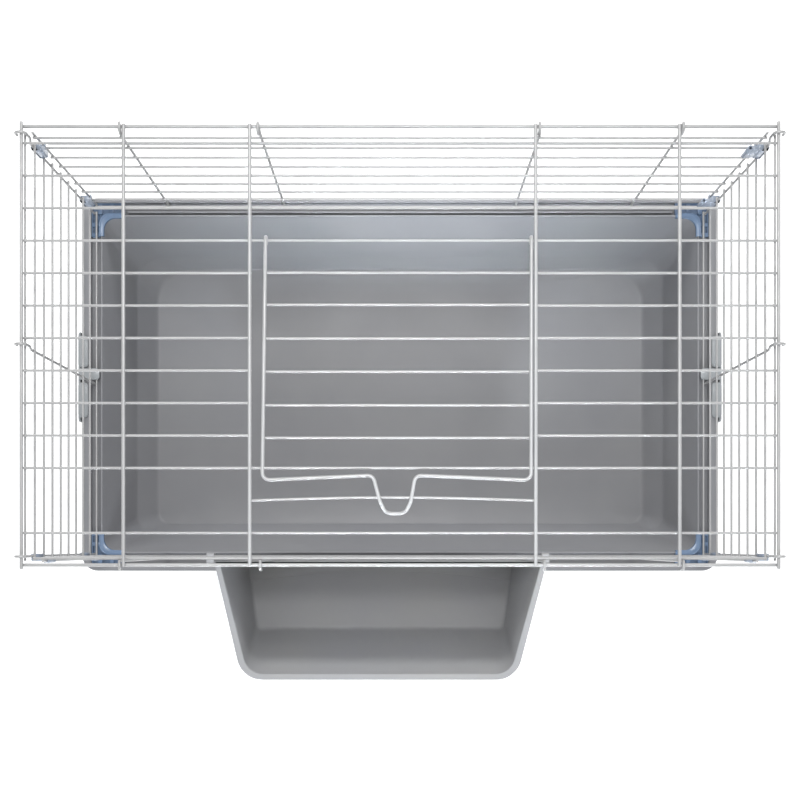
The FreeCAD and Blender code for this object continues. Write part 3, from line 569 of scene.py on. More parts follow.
def hooked_path(stem, stem_bends, direction, reach, kind, top_z, roof_z):
    """Path of an upright bent through the stem's points, its top bent over in a level direction."""
    bend, splay, drop = HOOKS[kind]
    top = Vector((stem[-1].x, stem[-1].y, top_z))
    over = top + direction * (reach - splay)
    tip = over + direction * splay
    tip.z = roof_z - drop
    return rounded_path(stem[:-1] + [top, over, tip], [0] + stem_bends + [bend, bend, 0], BEND_STEPS, False)


def cranked_upright(low, high, side, radius, bars, roof_z):
    """Upright outside a side wall's bars, cranked inwards at the top and hooked outwards."""
    top_bar, second_bar = bars[:2]
    outer_x = top_bar[0].x + side * (top_bar[2] + radius)
    inner_x = low.x + radius if side > 0 else high.x - radius
    tip_x = high.x - radius if side > 0 else low.x + radius
    y = (low.y + high.y) / 2
    stem = [Vector((outer_x, y, low.z)), Vector((outer_x, y, second_bar[0].z + LEAN_START)),
            Vector((inner_x, y, top_bar[0].z - CRANK_TOP_DROP)), Vector((inner_x, y, roof_z))]
    return hooked_path(stem, [CRANK_BEND, CRANK_BEND], Vector((side, 0, 0)), abs(tip_x - inner_x), "side",
                       high.z - radius, roof_z)


def leaning_upright(points, low, high, kind, radius, bars, roof_z):
    """Upright of the front or back wall: it leans a little above the second bar and hooks forwards."""
    foot = [point.x for point in points if point.z < low.z + radius / 2]
    head = [point.x for point in points if point.z > high.z - radius]
    foot_x = (min(foot) + max(foot)) / 2
    head_x = (min(head) + max(head)) / 2
    y = high.y - radius
    second_bar = bars[1]
    stem = [Vector((foot_x, y, low.z)), Vector((foot_x, y, second_bar[0].z + LEAN_START)),
            Vector((head_x, y, roof_z))]
    return hooked_path(stem, [LEAN_BEND], Vector((0, -1, 0)), high.y - low.y - 2 * radius, kind,
                       high.z - radius, roof_z)


def add_uprights(name, node, kind, bars, roof_z):
    """Uprights of one wall, welded to the outside of its bars, which come highest first."""
    solids = solid_points(node)
    boxes = [box_of(points) for points in solids]
    radius = min(min(high.x - low.x, high.y - low.y) for low, high in boxes) / 2
    side = 1 if boxes[0][0].x > 0 else -1
    tubes = []
    for points, (low, high) in zip(solids, boxes):
        if kind == "side":
            path = cranked_upright(low, high, side, radius, bars, roof_z)
        elif high.y - low.y > HOOKED_FROM * radius:
            path = leaning_upright(points, low, high, kind, radius, bars, roof_z)
        else:
            path = straight_wire(low, high)[0]
        tubes.append((path, radius))
    return add_tubes(name, node, HUTCH, tubes, 1)


def is_within(point, start, end):
    """Whether a point of the line through start and end lies between them."""
    reach = (end - start).length
    return (point - start).length <= reach and (point - end).length <= reach


def weld_points(first, second):
    """Points between wires of two sets that lie across and on each other."""
    points = []
    for start, end, radius in first:
        for other_start, other_end, other_radius in second:
            nearest = intersect_line_line(start, end, other_start, other_end)
            if nearest is None:
                continue
            near, far = nearest
            inside = is_within(near, start, end)
            other_inside = is_within(far, other_start, other_end)
            if inside and other_inside and (near - far).length < radius + other_radius + WELD_REACH:
                share = radius / (radius + other_radius)
                points.append((near.lerp(far, share), (near - far).normalized()))
    return points


def add_welds(name, body, pairs):
    """Small welds where wires cross."""
    shape = Shape()
    for first, second in pairs:
        for point, across in weld_points(first, second):
            sizes = [WELD_SIZE - WELD_FLAT * abs(part) for part in across]
            shape.bead(point, [size * random.uniform(*WELD_SPREAD) for size in sizes])
    add_piece(name, shape, body, "wire")


def bowed_bar(low, high, inner_x):
    """(path, radius) of the bar that the door's loop bows between two cross wires."""
    radius = (high.z - low.z) / 2
    z = (low.z + high.z) / 2
    y = low.y + radius
    bow = high.y - low.y - 2 * radius
    left, right = inner_x
    path = [Vector((low.x, y, z))]
    for step in range(BEND_STEPS * 2 + 1):
        share = step / (BEND_STEPS * 2)
        path.append(Vector((left + (right - left) * share, y + bow * sin(pi * share), z)))
    path.append(Vector((high.x, y, z)))
    return path, radius


def add_full_bars(cross_wires):
    inner_x = [start.x for start, end, radius in cross_wires[1:3]]
    tubes = []
    for low, high in solids_of("roof_full_bars"):
        if high.y - low.y > BOWED_FROM * (high.z - low.z):
            tubes.append(bowed_bar(low, high, inner_x))
        else:
            tubes.append(straight_wire(low, high))
    return add_tubes("roof_long_bars", "roof_full_bars", HUTCH, tubes)


def make_wire_cage():
    edge_wires = add_wires("roof_rim_wires", "roof_edge_wires", HUTCH)
    roof_z = min(start.z for start, end, radius in edge_wires)
    cross_wires = add_wires("roof_thick_wires", "roof_cross_wires", HUTCH)
    cross_wires.sort(key=lambda wire: wire[0].x)
    bars = add_full_bars(cross_wires)
    for side, side_name in SIDES:
        bars += add_wires("roof_" + side_name + "_cut_bars", "roof_" + side_name + "_short_bars", HUTCH)
    side_wires = [wire for wire in edge_wires if abs(wire[0].x - wire[1].x) < SAME_PLACE]
    add_welds("roof_welds", HUTCH, [(bars, cross_wires), (bars, side_wires), (cross_wires, edge_wires)])
    for wall, kind in (("left", "side"), ("right", "side"), ("back", "back"), ("front", "front")):
        level = add_wires(wall + "_level_bars", wall + "_wall_bars", HUTCH)
        level.sort(key=lambda wire: -wire[0].z)
        uprights = add_uprights(wall + "_hooked_uprights", wall + "_wall_uprights", kind, level, roof_z)
        add_welds(wall + "_wall_welds", HUTCH, [(level, uprights)])


def joint_place(name):
    return Vector(next(joint["pos_m"] for joint in frame["joints"] if joint["name"] == name))


def make_door():
    """The door's frame is one bent wire; its thin bars are welded below it."""
    left_low, left_high = (Vector(corner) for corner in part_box("door_left_wire"))
    right_high = Vector(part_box("door_right_wire")[1])
    loop_low = Vector(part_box("door_latch_loop")[0])
    bar_wires = add_wires("door_thin_bars", "door_bars", DOOR)
    bar_z = bar_wires[0][0].z
    radius = (left_high.z - bar_z - bar_wires[0][2]) / 2
    hinge = joint_place("door_hinge")
    z = left_high.z - radius
    ride = z - hinge.z
    front_y = left_low.y + radius
    left_x = left_low.x + radius
    right_x = right_high.x - radius - DOOR_TAPER[1]
    hinge_x = (left_x + DOOR_TAPER[0], right_x + DOOR_TAPER[1])
    curls = []
    for x in hinge_x:
        curl = []
        for step in range(CURL_STEPS):
            angle = CURL_TURN * (1 - step / CURL_STEPS)
            curl.append(Vector((x, hinge.y + ride * sin(angle), hinge.z + ride * cos(angle))))
        curls.append(curl)
    knee_y = loop_low.y + radius + LOOP_DROP
    halves = []
    for end, side_x in enumerate((left_x, right_x)):
        halves.append([
            Vector((hinge_x[end], hinge.y, z)),
            Vector((side_x, front_y, z)),
            Vector((LOOP_LEGS[end], front_y + DOOR_RISE, z)),
            Vector((LOOP_KNEES[end], knee_y, z)),
            Vector((LOOP_ENDS[end], knee_y - LOOP_DROP, z - LOOP_DROP)),
        ])
    left, right = halves
    radii = [0, DOOR_CORNER, *LOOP_BENDS, DOOR_CORNER, 0]
    path = curls[0] + rounded_path(left + right[::-1], radii, BEND_STEPS, False) + curls[1][::-1]
    shape = Shape()
    shape.tube(path, radius)
    add_piece("door_frame", shape, DOOR, "wire",
              ["door_left_wire", "door_right_wire", "door_front_wires", "door_latch_loop"])
    sides = [(left[0], left[1], radius), (right[1], right[0], radius)]
    add_welds("door_welds", DOOR, [(bar_wires, sides)])


# ---------------- moulded pieces
def plan_ring(plan):
    """Level outline of the tray or the trough from its nine plan numbers."""
    left_back, left_front, right_front, right_back, back_y, front_y, front_corner, back_corner, z = plan
    corners = [(left_front, front_y), (right_front, front_y), (right_back, back_y), (left_back, back_y)]
    outline = flat_outline(corners, [front_corner, front_corner, back_corner, back_corner])
    return [Vector((x, y, z)) for x, y in outline]


def softened(plans, sizes):
    """Plans with extra ones between, so that the corners of the section are rounded."""
    result = [plans[0]]
    for index in range(1, len(plans) - 1):
        size = sizes[index]
        here = plans[index]
        if size == 0:
            result.append(here)
            continue
        ends = []
        for other in (plans[index - 1], plans[index + 1]):
            length = dist(here, other) / sqrt(3)
            share = min(SOFT_SHARE, size / length)
            ends.append([a + (b - a) * share for a, b in zip(here, other)])
        for step in range(ROUND_STEPS + 1):
            t = step / ROUND_STEPS
            weights = ((1 - t) ** 2, 2 * t * (1 - t), t ** 2)
            columns = zip(ends[0], here, ends[1])
            result.append([sum(w * part for w, part in zip(weights, parts)) for parts in columns])
    return result + [plans[-1]]


def add_moulding(shape, section):
    """Skin through (plan, how far the section's corner there is softened)."""
    plans, sizes = zip(*section)
    shape.skin([plan_ring(plan) for plan in softened(plans, sizes)])


def make_tray():
    high = Vector(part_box("tray")[1])
    half = high.xy
    top = high.z

    def plan(insets, corners, z, grow=0.0):
        x = half.x - insets[0] + grow
        y = half.y - insets[1] + grow
        return [-x, -x, x, x, y, -y, corners[0] + grow, corners[1] + grow, z]

    def even(insets, corner, z, grow=0.0):
        return plan(insets, (corner, corner), z, grow)

    def between(share, z, grow):
        """Plan part of the way up from the band to the top of the inside."""
        insets = [a + (b - a) * share for a, b in zip(BAND_INSET, INSIDE_TOP_INSET)]
        corners = [corner + (INSIDE_TOP_CORNER - corner) * share for corner in BAND_CORNERS]
        return plan(insets, corners, z, grow)

    channel_z = top - CHANNEL_DEPTH
    under_z = channel_z - SKIN
    wall_share = (under_z + FLOOR_THICKNESS - BAND_HEIGHT) / (top - BAND_HEIGHT)
    underside = [amount + UNDERSIDE_INSET for amount in FLOOR_INSET]
    underside_corners = [corner / 2 for corner in FLOOR_CORNERS]
    channel_in = (CHANNEL_IN_INSET, CHANNEL_CORNERS[0])
    channel_out = (CHANNEL_OUT_INSET, CHANNEL_CORNERS[1])
    rim = ((0, 0), RIM_CORNER)
    rim_inside = ((SKIN, SKIN), RIM_CORNER - SKIN)
    section = []
    for reach in FLOOR_RINGS:
        spread = [size - (size - amount) * (1 - reach) for size, amount in zip(half, FLOOR_INSET)]
        corners = [corner * (1 - reach) for corner in FLOOR_CORNERS]
        section.append((plan(spread, corners, FLOOR_THICKNESS + FLOOR_CROWN * reach), 0))
    section += [
        (plan(FLOOR_INSET, FLOOR_CORNERS, FLOOR_THICKNESS), 0.004),
        (plan(BAND_INSET, BAND_CORNERS, BAND_HEIGHT), 0.003),
        (between(1, top, 0), 0.0007),
        (even(*channel_in, top), 0.0007),
        (even(*channel_in, channel_z), 0.0006),
        (even(*channel_out, channel_z), 0.0006),
        (even(*channel_out, top), 0.0010),
        (even(*rim, top), 0.0060),
        (even(*rim, top - RIM_DEPTH), 0.0005),
        (even(*rim_inside, top - RIM_DEPTH), 0.0005),
        (even(*rim_inside, top - SKIN), 0.0012),
        (even(*channel_out, top - SKIN, SKIN), 0.0006),
        (even(*channel_out, under_z, SKIN), 0.0006),
        (between(wall_share, under_z, SKIN), 0.0010),
        (between(0, BAND_HEIGHT - FLOOR_THICKNESS, SKIN), 0.003),
        (plan(FLOOR_INSET, FLOOR_CORNERS, 0, SKIN), 0.004),
        (plan(underside, underside_corners, 0, SKIN), 0),
    ]
    shape = Shape()
    add_moulding(shape, section)
    rib = rectangle((-CHANNEL_RIB_X, CHANNEL_RIB_Y[0]), (CHANNEL_RIB_X, CHANNEL_RIB_Y[1]), [BROAD_EDGE] * 4,
                    STRIP_STEPS)
    shape.prism(rib, channel_z - RIB_SINK, top - CHANNEL_RIB_BELOW, BROAD_EDGE, upright())
    add_piece("tray_shell", shape, HUTCH, "tray_plastic", ["tray"])
    make_ears(half.x - BAND_INSET[0])


def make_ears(wall_x):
    """Ears on the tray's side walls that hold the latches' pins."""
    shape = Shape()
    wall_middle = EAR_STEPS * 3 // 4
    for side, side_name in SIDES:
        pivot = joint_place(side_name + "_latch_pivot")
        for ear_y in EARS_Y:
            outer = []
            inner = []
            for step in range(EAR_STEPS):
                angle = tau * step / EAR_STEPS
                out_x = abs(pivot.x) + EAR_RADIUS * sin(angle)
                out_z = pivot.z + EAR_RADIUS * cos(angle)
                if step > EAR_STEPS // 2:
                    level = (step > wall_middle) - (step < wall_middle)
                    out_x = wall_x + EAR_ROOT + EAR_LEAN * level
                    out_z = pivot.z + EAR_RADIUS * level
                outer.append(Vector((side * out_x, ear_y, out_z)))
                in_x = abs(pivot.x) + PIN_RADIUS * EAR_HOLE * sin(angle)
                inner.append(Vector((side * in_x, ear_y, pivot.z + PIN_RADIUS * EAR_HOLE * cos(angle))))
            across = Vector((0, EAR_WIDTH, 0))
            shape.skin([outer, [p + across for p in outer], [p + across for p in inner], inner], wrap=True)
    add_piece("tray_latch_ears", shape, HUTCH, "tray_plastic")


def add_lobe(shape, side, lobe_low, lobe_high, inner_x, outer_x, top):
    """Thick lip on the latch's upper edge that reaches in over the rim, with rounded ends."""
    rings = []
    length = lobe_high - lobe_low
    inner_share, outer_share = LOBE_END_SIDES
    for share in LOBE_STATIONS:
        end = min(share, 1 - share)
        shrink = LOBE_END_DEPTH * max(0.0, 1 - end / LOBE_END) ** LOBE_END_POWER
        y = lobe_low + length * share
        front = outer_x - LOBE_DEPTH + shrink * inner_share
        back = outer_x - shrink * outer_share
        peak = top - shrink
        under = top - LOBE_THICKNESS
        corners = [(front, under), (front, peak - LOBE_DIP), (back - LOBE_FLAT, peak), (back, peak),
                   (back, under - LOBE_ROOT), (inner_x + LOBE_SINK, under - LOBE_ROOT),
                   (inner_x + LOBE_SINK, under)]
        section = flat_outline(corners[::-1], LOBE_RADII[::-1], SECTION_STEPS)
        rings.append([Vector((side * x, y, z)) for x, z in section])
    shape.skin(rings)


def make_latch(side, side_name):
    """Plate with two lobes over the rim, a catch over the lowest bar, and its pin."""
    low, high = (Vector(corner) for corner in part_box(side_name + "_latch"))
    outer_x = max(abs(low.x), abs(high.x))
    catch_x = min(abs(low.x), abs(high.x))
    inner_x = outer_x - PLATE_THICKNESS
    top = high.z
    shape = Shape()

    def sideways(u, v, level):
        return Vector((side * level, u, v))

    def along(u, v, level):
        return Vector((side * u, level, v))

    low_corner, high_corner = PLATE_CORNERS
    plate = rectangle((low.y, low.z), (high.y, top - CATCH_BELOW_TOP[1] - PLATE_BELOW_CATCH),
                      [low_corner, low_corner, high_corner, high_corner])
    shape.prism(plate, inner_x, outer_x, PLATE_EDGE, sideways)
    for lobe_low, lobe_high in ((low.y + high_corner, NOTCH_Y[0]), (NOTCH_Y[1], high.y - high_corner)):
        add_lobe(shape, side, lobe_low, lobe_high, inner_x, outer_x, top)
    catch = rectangle((catch_x, CATCH_Y[0]), (outer_x - CATCH_SINK, CATCH_Y[1]),
                      [CATCH_CORNER, 0, 0, CATCH_CORNER])
    shape.prism(catch, top - CATCH_BELOW_TOP[0], top - CATCH_BELOW_TOP[1], BROAD_EDGE, upright(side))
    pivot = joint_place(side_name + "_latch_pivot")
    pin_low = Vector((pivot.x, EARS_Y[0] - PIN_END, pivot.z))
    pin_high = Vector((pivot.x, EARS_Y[1] + EAR_WIDTH + PIN_END, pivot.z))
    shape.tube([pin_low, pin_high], PIN_RADIUS, PIN_SIDES)
    web = rectangle((abs(pivot.x), pivot.z - PIN_RADIUS), (inner_x + WEB_SINK, pivot.z + PIN_RADIUS),
                    [SMALL_EDGE] * 4, SMALL_STEPS)
    shape.prism(web, EARS_Y[0] + EAR_WIDTH + BROAD_EDGE, EARS_Y[1] - BROAD_EDGE, SMALL_EDGE, along)
    add_piece(side_name + "_side_latch", shape, "latch_" + side_name, "latch_plastic",
              [side_name + "_latch"])


def corner_run(half_x, half_y, corner, leg_start):
    """Points of an L that follows one corner of a rounded rectangle, in the +X +Y quarter."""
    points = [Vector((leg_start[0], half_y, 0)), Vector((half_x, half_y, 0)),
              Vector((half_x, leg_start[1], 0))]
    return rounded_path(points, [0, corner, 0], CORNER_STEPS, False)


def both(size):
    return Vector((size, size))


def make_brackets():
    """Corner feet in the tray's channel, with a skirt that hangs inside the rim."""
    tray_high = Vector(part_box("tray")[1])
    half = tray_high.xy
    top = tray_high.z
    base = top - CHANNEL_DEPTH
    over = top + BRACKET_GAP
    lip_top = over + BRACKET_LIP
    roof = over + BRACKET_WALL
    channel_in = half - Vector(CHANNEL_IN_INSET) + both(BRACKET_GAP)
    channel_out = half - Vector(CHANNEL_OUT_INSET) - both(BRACKET_GAP)
    wall = channel_in + both(BRACKET_WALL)
    out_wall = channel_out - both(BRACKET_WALL)
    share = BRACKET_SKIRT / (top - BAND_HEIGHT)
    slope = [(band - lip) * share for band, lip in zip(BAND_INSET, INSIDE_TOP_INSET)]
    skirt_out = half - Vector(INSIDE_TOP_INSET) - Vector(slope) - both(BRACKET_GAP)
    skirt_in = skirt_out - both(BRACKET_LIP)
    inner, outer = CHANNEL_CORNERS
    low_floor = base + BRACKET_WALL
    lip = base + BRACKET_HEIGHT
    skirt_z = top - BRACKET_SKIRT
    fine = both(FINE_EDGE)
    edge_in, edge_down = BRACKET_SKIRT_EDGE
    section = [
        (skirt_in, INSIDE_TOP_CORNER, skirt_z), (skirt_out, INSIDE_TOP_CORNER, skirt_z),
        (skirt_out, INSIDE_TOP_CORNER, over), (channel_in, inner, over), (channel_in, inner, base),
        (channel_out, outer, base), (channel_out, outer, lip), (out_wall, outer - BRACKET_WALL, lip),
        (out_wall, outer - BRACKET_WALL, low_floor), (wall, inner, low_floor),
        (wall, inner, roof - SMALL_EDGE), (wall - fine, inner, roof), (channel_in + fine, inner, roof),
        (channel_in, inner, roof - FINE_EDGE), (channel_in, inner, lip_top),
        (skirt_in + both(edge_in), INSIDE_TOP_CORNER, lip_top),
        (skirt_in, INSIDE_TOP_CORNER, lip_top - edge_down),
    ]
    for side, side_name in SIDES:
        for end in ENDS:
            facing = 1 if end == "back" else -1
            node = "corner_bracket_" + end + "_" + side_name
            leg_start = (channel_out.x - BRACKET_LEG, channel_out.y - BRACKET_LEG)
            runs = [[point + Vector((0, 0, z)) for point in corner_run(size.x, size.y, corner, leg_start)]
                    for size, corner, z in section]
            rings = [[Vector((side * run[index].x, facing * run[index].y, run[index].z)) for run in runs]
                     for index in range(len(runs[0]))]
            shape = Shape()
            shape.skin(rings)
            add_bracket_ribs(shape, side, facing, wall, out_wall, leg_start, low_floor, lip)
            add_piece(node + "_foot", shape, HUTCH, "bracket_plastic", [node],
                      SHARP_SMALL_PART_ANGLE)


def add_bracket_ribs(shape, side, facing, wall, out_wall, leg_start, low, high):
    """Broad ribs between the bracket's open cells, and its solid foot in the corner."""
    pitch_x = (wall.x - BRACKET_FOOT_WALL - leg_start[0]) / BRACKET_CELLS
    pitch_y = (wall.y - BRACKET_FOOT_WALL - leg_start[1]) / BRACKET_CELLS
    overlap = SMALL_EDGE
    blocks = []
    for index in range(BRACKET_CELLS):
        x = leg_start[0] + pitch_x * index
        y = leg_start[1] + pitch_y * index
        blocks.append(((x, wall.y - overlap), (x + BRACKET_RUNG, out_wall.y + overlap)))
        blocks.append(((wall.x - overlap, y), (out_wall.x + overlap, y + BRACKET_RUNG)))
    blocks.append(((wall.x - BRACKET_FOOT_WALL, wall.y - overlap),
                   (wall.x + BRACKET_RUNG / 2, out_wall.y + overlap)))
    for low_corner, high_corner in blocks:
        outline = rectangle(low_corner, high_corner, [SMALL_EDGE] * 4, SMALL_STEPS)
        shape.prism(outline, low - overlap, high - BRACKET_RIB_DROP, SMALL_EDGE, upright(side, facing))


def make_clips():
    """Snap clips that hold two walls' end uprights together at each corner."""
    for side, side_name in SIDES:
        for end in ENDS:
            for level in ("upper", "lower"):
                node = level + "_clip_" + end + "_" + side_name
                add_clip(node, side, end)


def upright_places(side_name, end):
    """Plan positions of the two end uprights that meet at a corner: the side wall's, then the other's."""
    feet = []
    for points in solid_points(side_name + "_wall_uprights"):
        low = box_of(points)[0]
        feet.append(box_of([point for point in points if point.z < low.z + FOOT_HEIGHT]))
    choose = max if end == "back" else min
    sign = -1 if side_name == "left" else 1
    boxes = [choose(feet, key=lambda pair: pair[0].y),
             max(solids_of(end + "_wall_uprights"), key=lambda pair: sign * pair[0].x)]
    return [((low.x + high.x) / 2, (low.y + high.y) / 2) for low, high in boxes]


def mouth_angles(mouth):
    """Angles round an open loop, from one side of its mouth to the other; mouth is 1 or -1 along Y."""
    half_gap = asin(CLIP_MOUTH / CLIP_HOLE)
    turn = tau - 2 * half_gap
    return [mouth * pi / 2 + half_gap + turn * step / LOOP_STEPS for step in range(LOOP_STEPS + 1)]


def clip_outline(low, high, centre, mouth):
    """Plan of a clip's block, on the right of the hutch, with a keyhole that opens at its mouth."""
    outline = rectangle(low, high, [CLIP_CORNER] * 4, CLIP_STEPS)
    after = outline[1:] + outline[:1]
    x, y = centre
    edge_y = high[1] if mouth > 0 else low[1]
    keyhole = [(x + CLIP_HOLE * cos(angle), y + CLIP_HOLE * sin(angle))
               for angle in mouth_angles(mouth)]
    keyhole = [(keyhole[0][0], edge_y)] + keyhole + [(keyhole[-1][0], edge_y)]
    keyhole.reverse()
    opening = next(index for index, (here, there) in enumerate(zip(outline, after))
                   if max(abs(here[1] - edge_y), abs(there[1] - edge_y)) < LEVEL_WITHIN
                   and (there[0] - x) * (here[0] - x) < 0)
    return outline[:opening + 1] + keyhole + outline[opening + 1:]


def add_ring(shape, centre, radii, heights, angles, side=1, wrap=False):
    """Ring, whole or open, with softened edges; side -1 mirrors it to the left of the hutch."""
    x, y = centre
    hole, outside = radii
    low_z, high_z = heights
    edge = FINE_EDGE
    section = ((hole, low_z + edge), (hole + edge, low_z), (outside - edge, low_z), (outside, low_z + edge),
               (outside, high_z - edge), (outside - edge, high_z), (hole + edge, high_z),
               (hole, high_z - edge))
    rings = []
    for angle in angles:
        rings.append([Vector((side * (x + reach * cos(angle)), y + reach * sin(angle), z))
                      for reach, z in section])
    shape.skin(rings, wrap)


def add_spare_loop(shape, heights):
    """Closed ring on a short arm, beside the clip's body."""
    x, y = SPARE_LOOP
    hole, outside = SPARE_LOOP_RADII
    low_z, high_z = heights
    angles = [tau * step / SPARE_LOOP_STEPS for step in range(SPARE_LOOP_STEPS)]
    add_ring(shape, SPARE_LOOP, SPARE_LOOP_RADII, heights, angles, wrap=True)
    arm = rectangle((x + hole + FINE_EDGE, y - outside * SPARE_ARM),
                    (BACK_CLIP_X[0] + CLIP_CORNER, y + outside * SPARE_ARM), [FINE_EDGE] * 4, SMALL_STEPS)
    shape.prism(arm, low_z + FINE_EDGE, high_z - FINE_EDGE, FINE_EDGE, upright())


def add_clip(node, side, end):
    """Block with an open loop round the end uprights of both walls."""
    side_name = "left" if side < 0 else "right"
    low, high = (Vector(corner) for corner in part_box(node))
    (side_x, side_y), (other_x, other_y) = upright_places(side_name, end)
    at_side = (abs(side_x), side_y)
    at_other = (abs(other_x), other_y)
    heights = (low.z, high.z)
    radii = (CLIP_HOLE, CLIP_LOOP)
    place = upright(side)
    shape = Shape()
    if end == "back":
        outline = clip_outline((BACK_CLIP_X[0], low.y), (BACK_CLIP_X[1], CLIP_BACK_Y), at_side, -1)
        shape.prism(outline, low.z, high.z, SMALL_EDGE, place)
        add_ring(shape, at_side, radii, heights, mouth_angles(-1), side)
        finger_z = low.z + CLIP_FINGER_HEIGHT
        finger = rectangle((at_other[0] - CLIP_FINGER_HALF, CLIP_BACK_Y - FINGER_SINK),
                           (at_other[0] + CLIP_FINGER_HALF, other_y - CLIP_HOLE - FINGER_GAP),
                           [FINE_EDGE] * 4, SMALL_STEPS)
        shape.prism(finger, low.z, finger_z, FINE_EDGE, place)
        add_ring(shape, at_other, radii, (low.z, finger_z), mouth_angles(1), side)
        if side > 0:
            add_spare_loop(shape, heights)
    else:
        body = rectangle((at_other[0] + CLIP_HOLE + FINE_EDGE, FRONT_CLIP_Y),
                         (FRONT_CLIP_X, side_y - CLIP_HOLE - FINE_EDGE), [FRONT_CLIP_CORNER] * 4, ROUND_STEPS)
        shape.prism(body, low.z, high.z, SMALL_EDGE, place)
        add_ring(shape, at_side, radii, heights, mouth_angles(1), side)
        add_ring(shape, at_other, radii, heights, mouth_angles(-1), side)
    add_piece(node + "_snap", shape, HUTCH, "clip_plastic", [node], SHARP_SMALL_PART_ANGLE)


def make_trough():
    low, high = (Vector(corner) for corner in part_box("feeder_trough"))
    bottom = low.z
    front_y = low.y
    shape = Shape()

    def plan(back_x, front_x, back_y, near_y, shrink, corner, z):
        back_shrink = min(shrink, TROUGH_SKIN)
        return [back_x[0] + shrink, front_x[0] + shrink, front_x[1] - shrink, back_x[1] - shrink,
                back_y - back_shrink, near_y + shrink, corner, TROUGH_BACK_CORNER, z]

    top_back = (TROUGH_TOP_X[0] + TROUGH_LIP, TROUGH_TOP_X[1] - TROUGH_LIP)
    top_front = (TROUGH_TOP_FRONT_X[0] + TROUGH_LIP, TROUGH_TOP_FRONT_X[1] - TROUGH_LIP)
    top_y = front_y + TROUGH_LIP
    top_corner = TROUGH_LIP_CORNER - TROUGH_LIP
    floor_z = bottom + TROUGH_SKIN
    lip_z = TROUGH_TOP - TROUGH_SKIN
    outside_bottom = (TROUGH_BOTTOM_X, TROUGH_BOTTOM_FRONT_X, TROUGH_BACK_Y, TROUGH_BOTTOM_FRONT_Y)
    outside_top = (top_back, top_front, TROUGH_BACK_Y, top_y)
    lip_edge = (TROUGH_TOP_X, TROUGH_TOP_FRONT_X, TROUGH_BACK_Y, front_y)
    section = [
        (plan(*outside_bottom, TROUGH_MIDDLE_INSET, TROUGH_MIDDLE_CORNER, bottom), 0),
        (plan(*outside_bottom, 0, TROUGH_BOTTOM_CORNER, bottom), 0.004),
        (plan(*outside_top, 0, top_corner, lip_z), 0.001),
        (plan(*lip_edge, 0, TROUGH_LIP_CORNER, lip_z), 0.0008),
        (plan(*lip_edge, 0, TROUGH_LIP_CORNER, TROUGH_TOP), 0.0016),
        (plan(*outside_top, TROUGH_SKIN, top_corner - TROUGH_SKIN, TROUGH_TOP), 0.0014),
        (plan(*outside_bottom, TROUGH_SKIN, TROUGH_BOTTOM_CORNER - TROUGH_SKIN, floor_z), 0.005),
        (plan(*outside_bottom, TROUGH_MIDDLE_INSET, TROUGH_MIDDLE_CORNER, floor_z), 0),
    ]
    add_moulding(shape, section)
    add_step(shape, floor_z)
    add_hangers(shape, low, high)
    add_piece("hanging_trough", shape, FEEDER, "trough_plastic", ["feeder_trough"])


def add_step(shape, floor_z):
    """Low step behind an arched edge along the back of the trough's floor."""
    left = TROUGH_BOTTOM_X[0] + STEP_SIDE_GAP
    right = TROUGH_BOTTOM_X[1] - STEP_SIDE_GAP
    back_y = TROUGH_BACK_Y - STEP_SIDE_GAP
    outline = []
    for step in range(STEP_ARCH_STEPS + 1):
        share = step / STEP_ARCH_STEPS
        rise = sin(pi * share) ** STEP_ARCH_POWER
        outline.append((left + (right - left) * share, STEP_END_Y + (STEP_MIDDLE_Y - STEP_END_Y) * rise))
    outline += [(right, back_y), (left, back_y)]
    shape.prism(outline, floor_z - STEP_SINK, floor_z + STEP_HEIGHT, STEP_EDGE, upright())


def add_hangers(shape, low, high):
    """Stiffening strip along the back, with a hook at each end that goes over a bar of the wall."""
    outer_y = TROUGH_BACK_Y - HANGER_SHEET
    strip_z = TROUGH_TOP - HANGER_STRIP
    strip = rectangle((low.x, outer_y), (high.x, TROUGH_BACK_Y), [STRIP_CORNER] * 4, STRIP_STEPS)
    shape.prism(strip, strip_z, TROUGH_TOP, BROAD_EDGE, upright())
    tip_y = high.y
    inner_y = tip_y - HANGER_SHEET
    tail_z = joint_place("feeder_hook").z - HANGER_TAIL
    under_z = high.z - HANGER_SHEET
    corners = [(outer_y, strip_z), (outer_y, high.z), (tip_y, high.z), (tip_y, tail_z),
               (inner_y, tail_z), (inner_y, under_z), (TROUGH_BACK_Y, under_z), (TROUGH_BACK_Y, strip_z)]
    outline = flat_outline(corners[::-1], HANGER_RADII[::-1], SECTION_STEPS)

    def across(u, v, level):
        return Vector((level, u, v))

    for start in (low.x, high.x - HANGER_WIDTH):
        shape.prism(outline, start, start + HANGER_WIDTH, SMALL_EDGE, across)


make_wire_cage()
make_door()
make_tray()
for side, side_name in SIDES:
    make_latch(side, side_name)
make_brackets()
make_clips()
make_trough()


# ---------------- floor, light and camera
FLOOR_GLOW = 0.4
FLOOR_REACH = 30.0
FLOOR_DROP = 0.0005  # keeps the stage just clear of the tray's underside
WORLD_STRENGTH = 0.55
BEAM_SPREAD = radians(18)
CAMERA_ABOVE_ROOF = 1.2
CAMERA_Y = -0.1965
CAMERA_LENS = 54.7
CAMERA_SENSOR = 36
CAMERA_SHIFT = 0.181


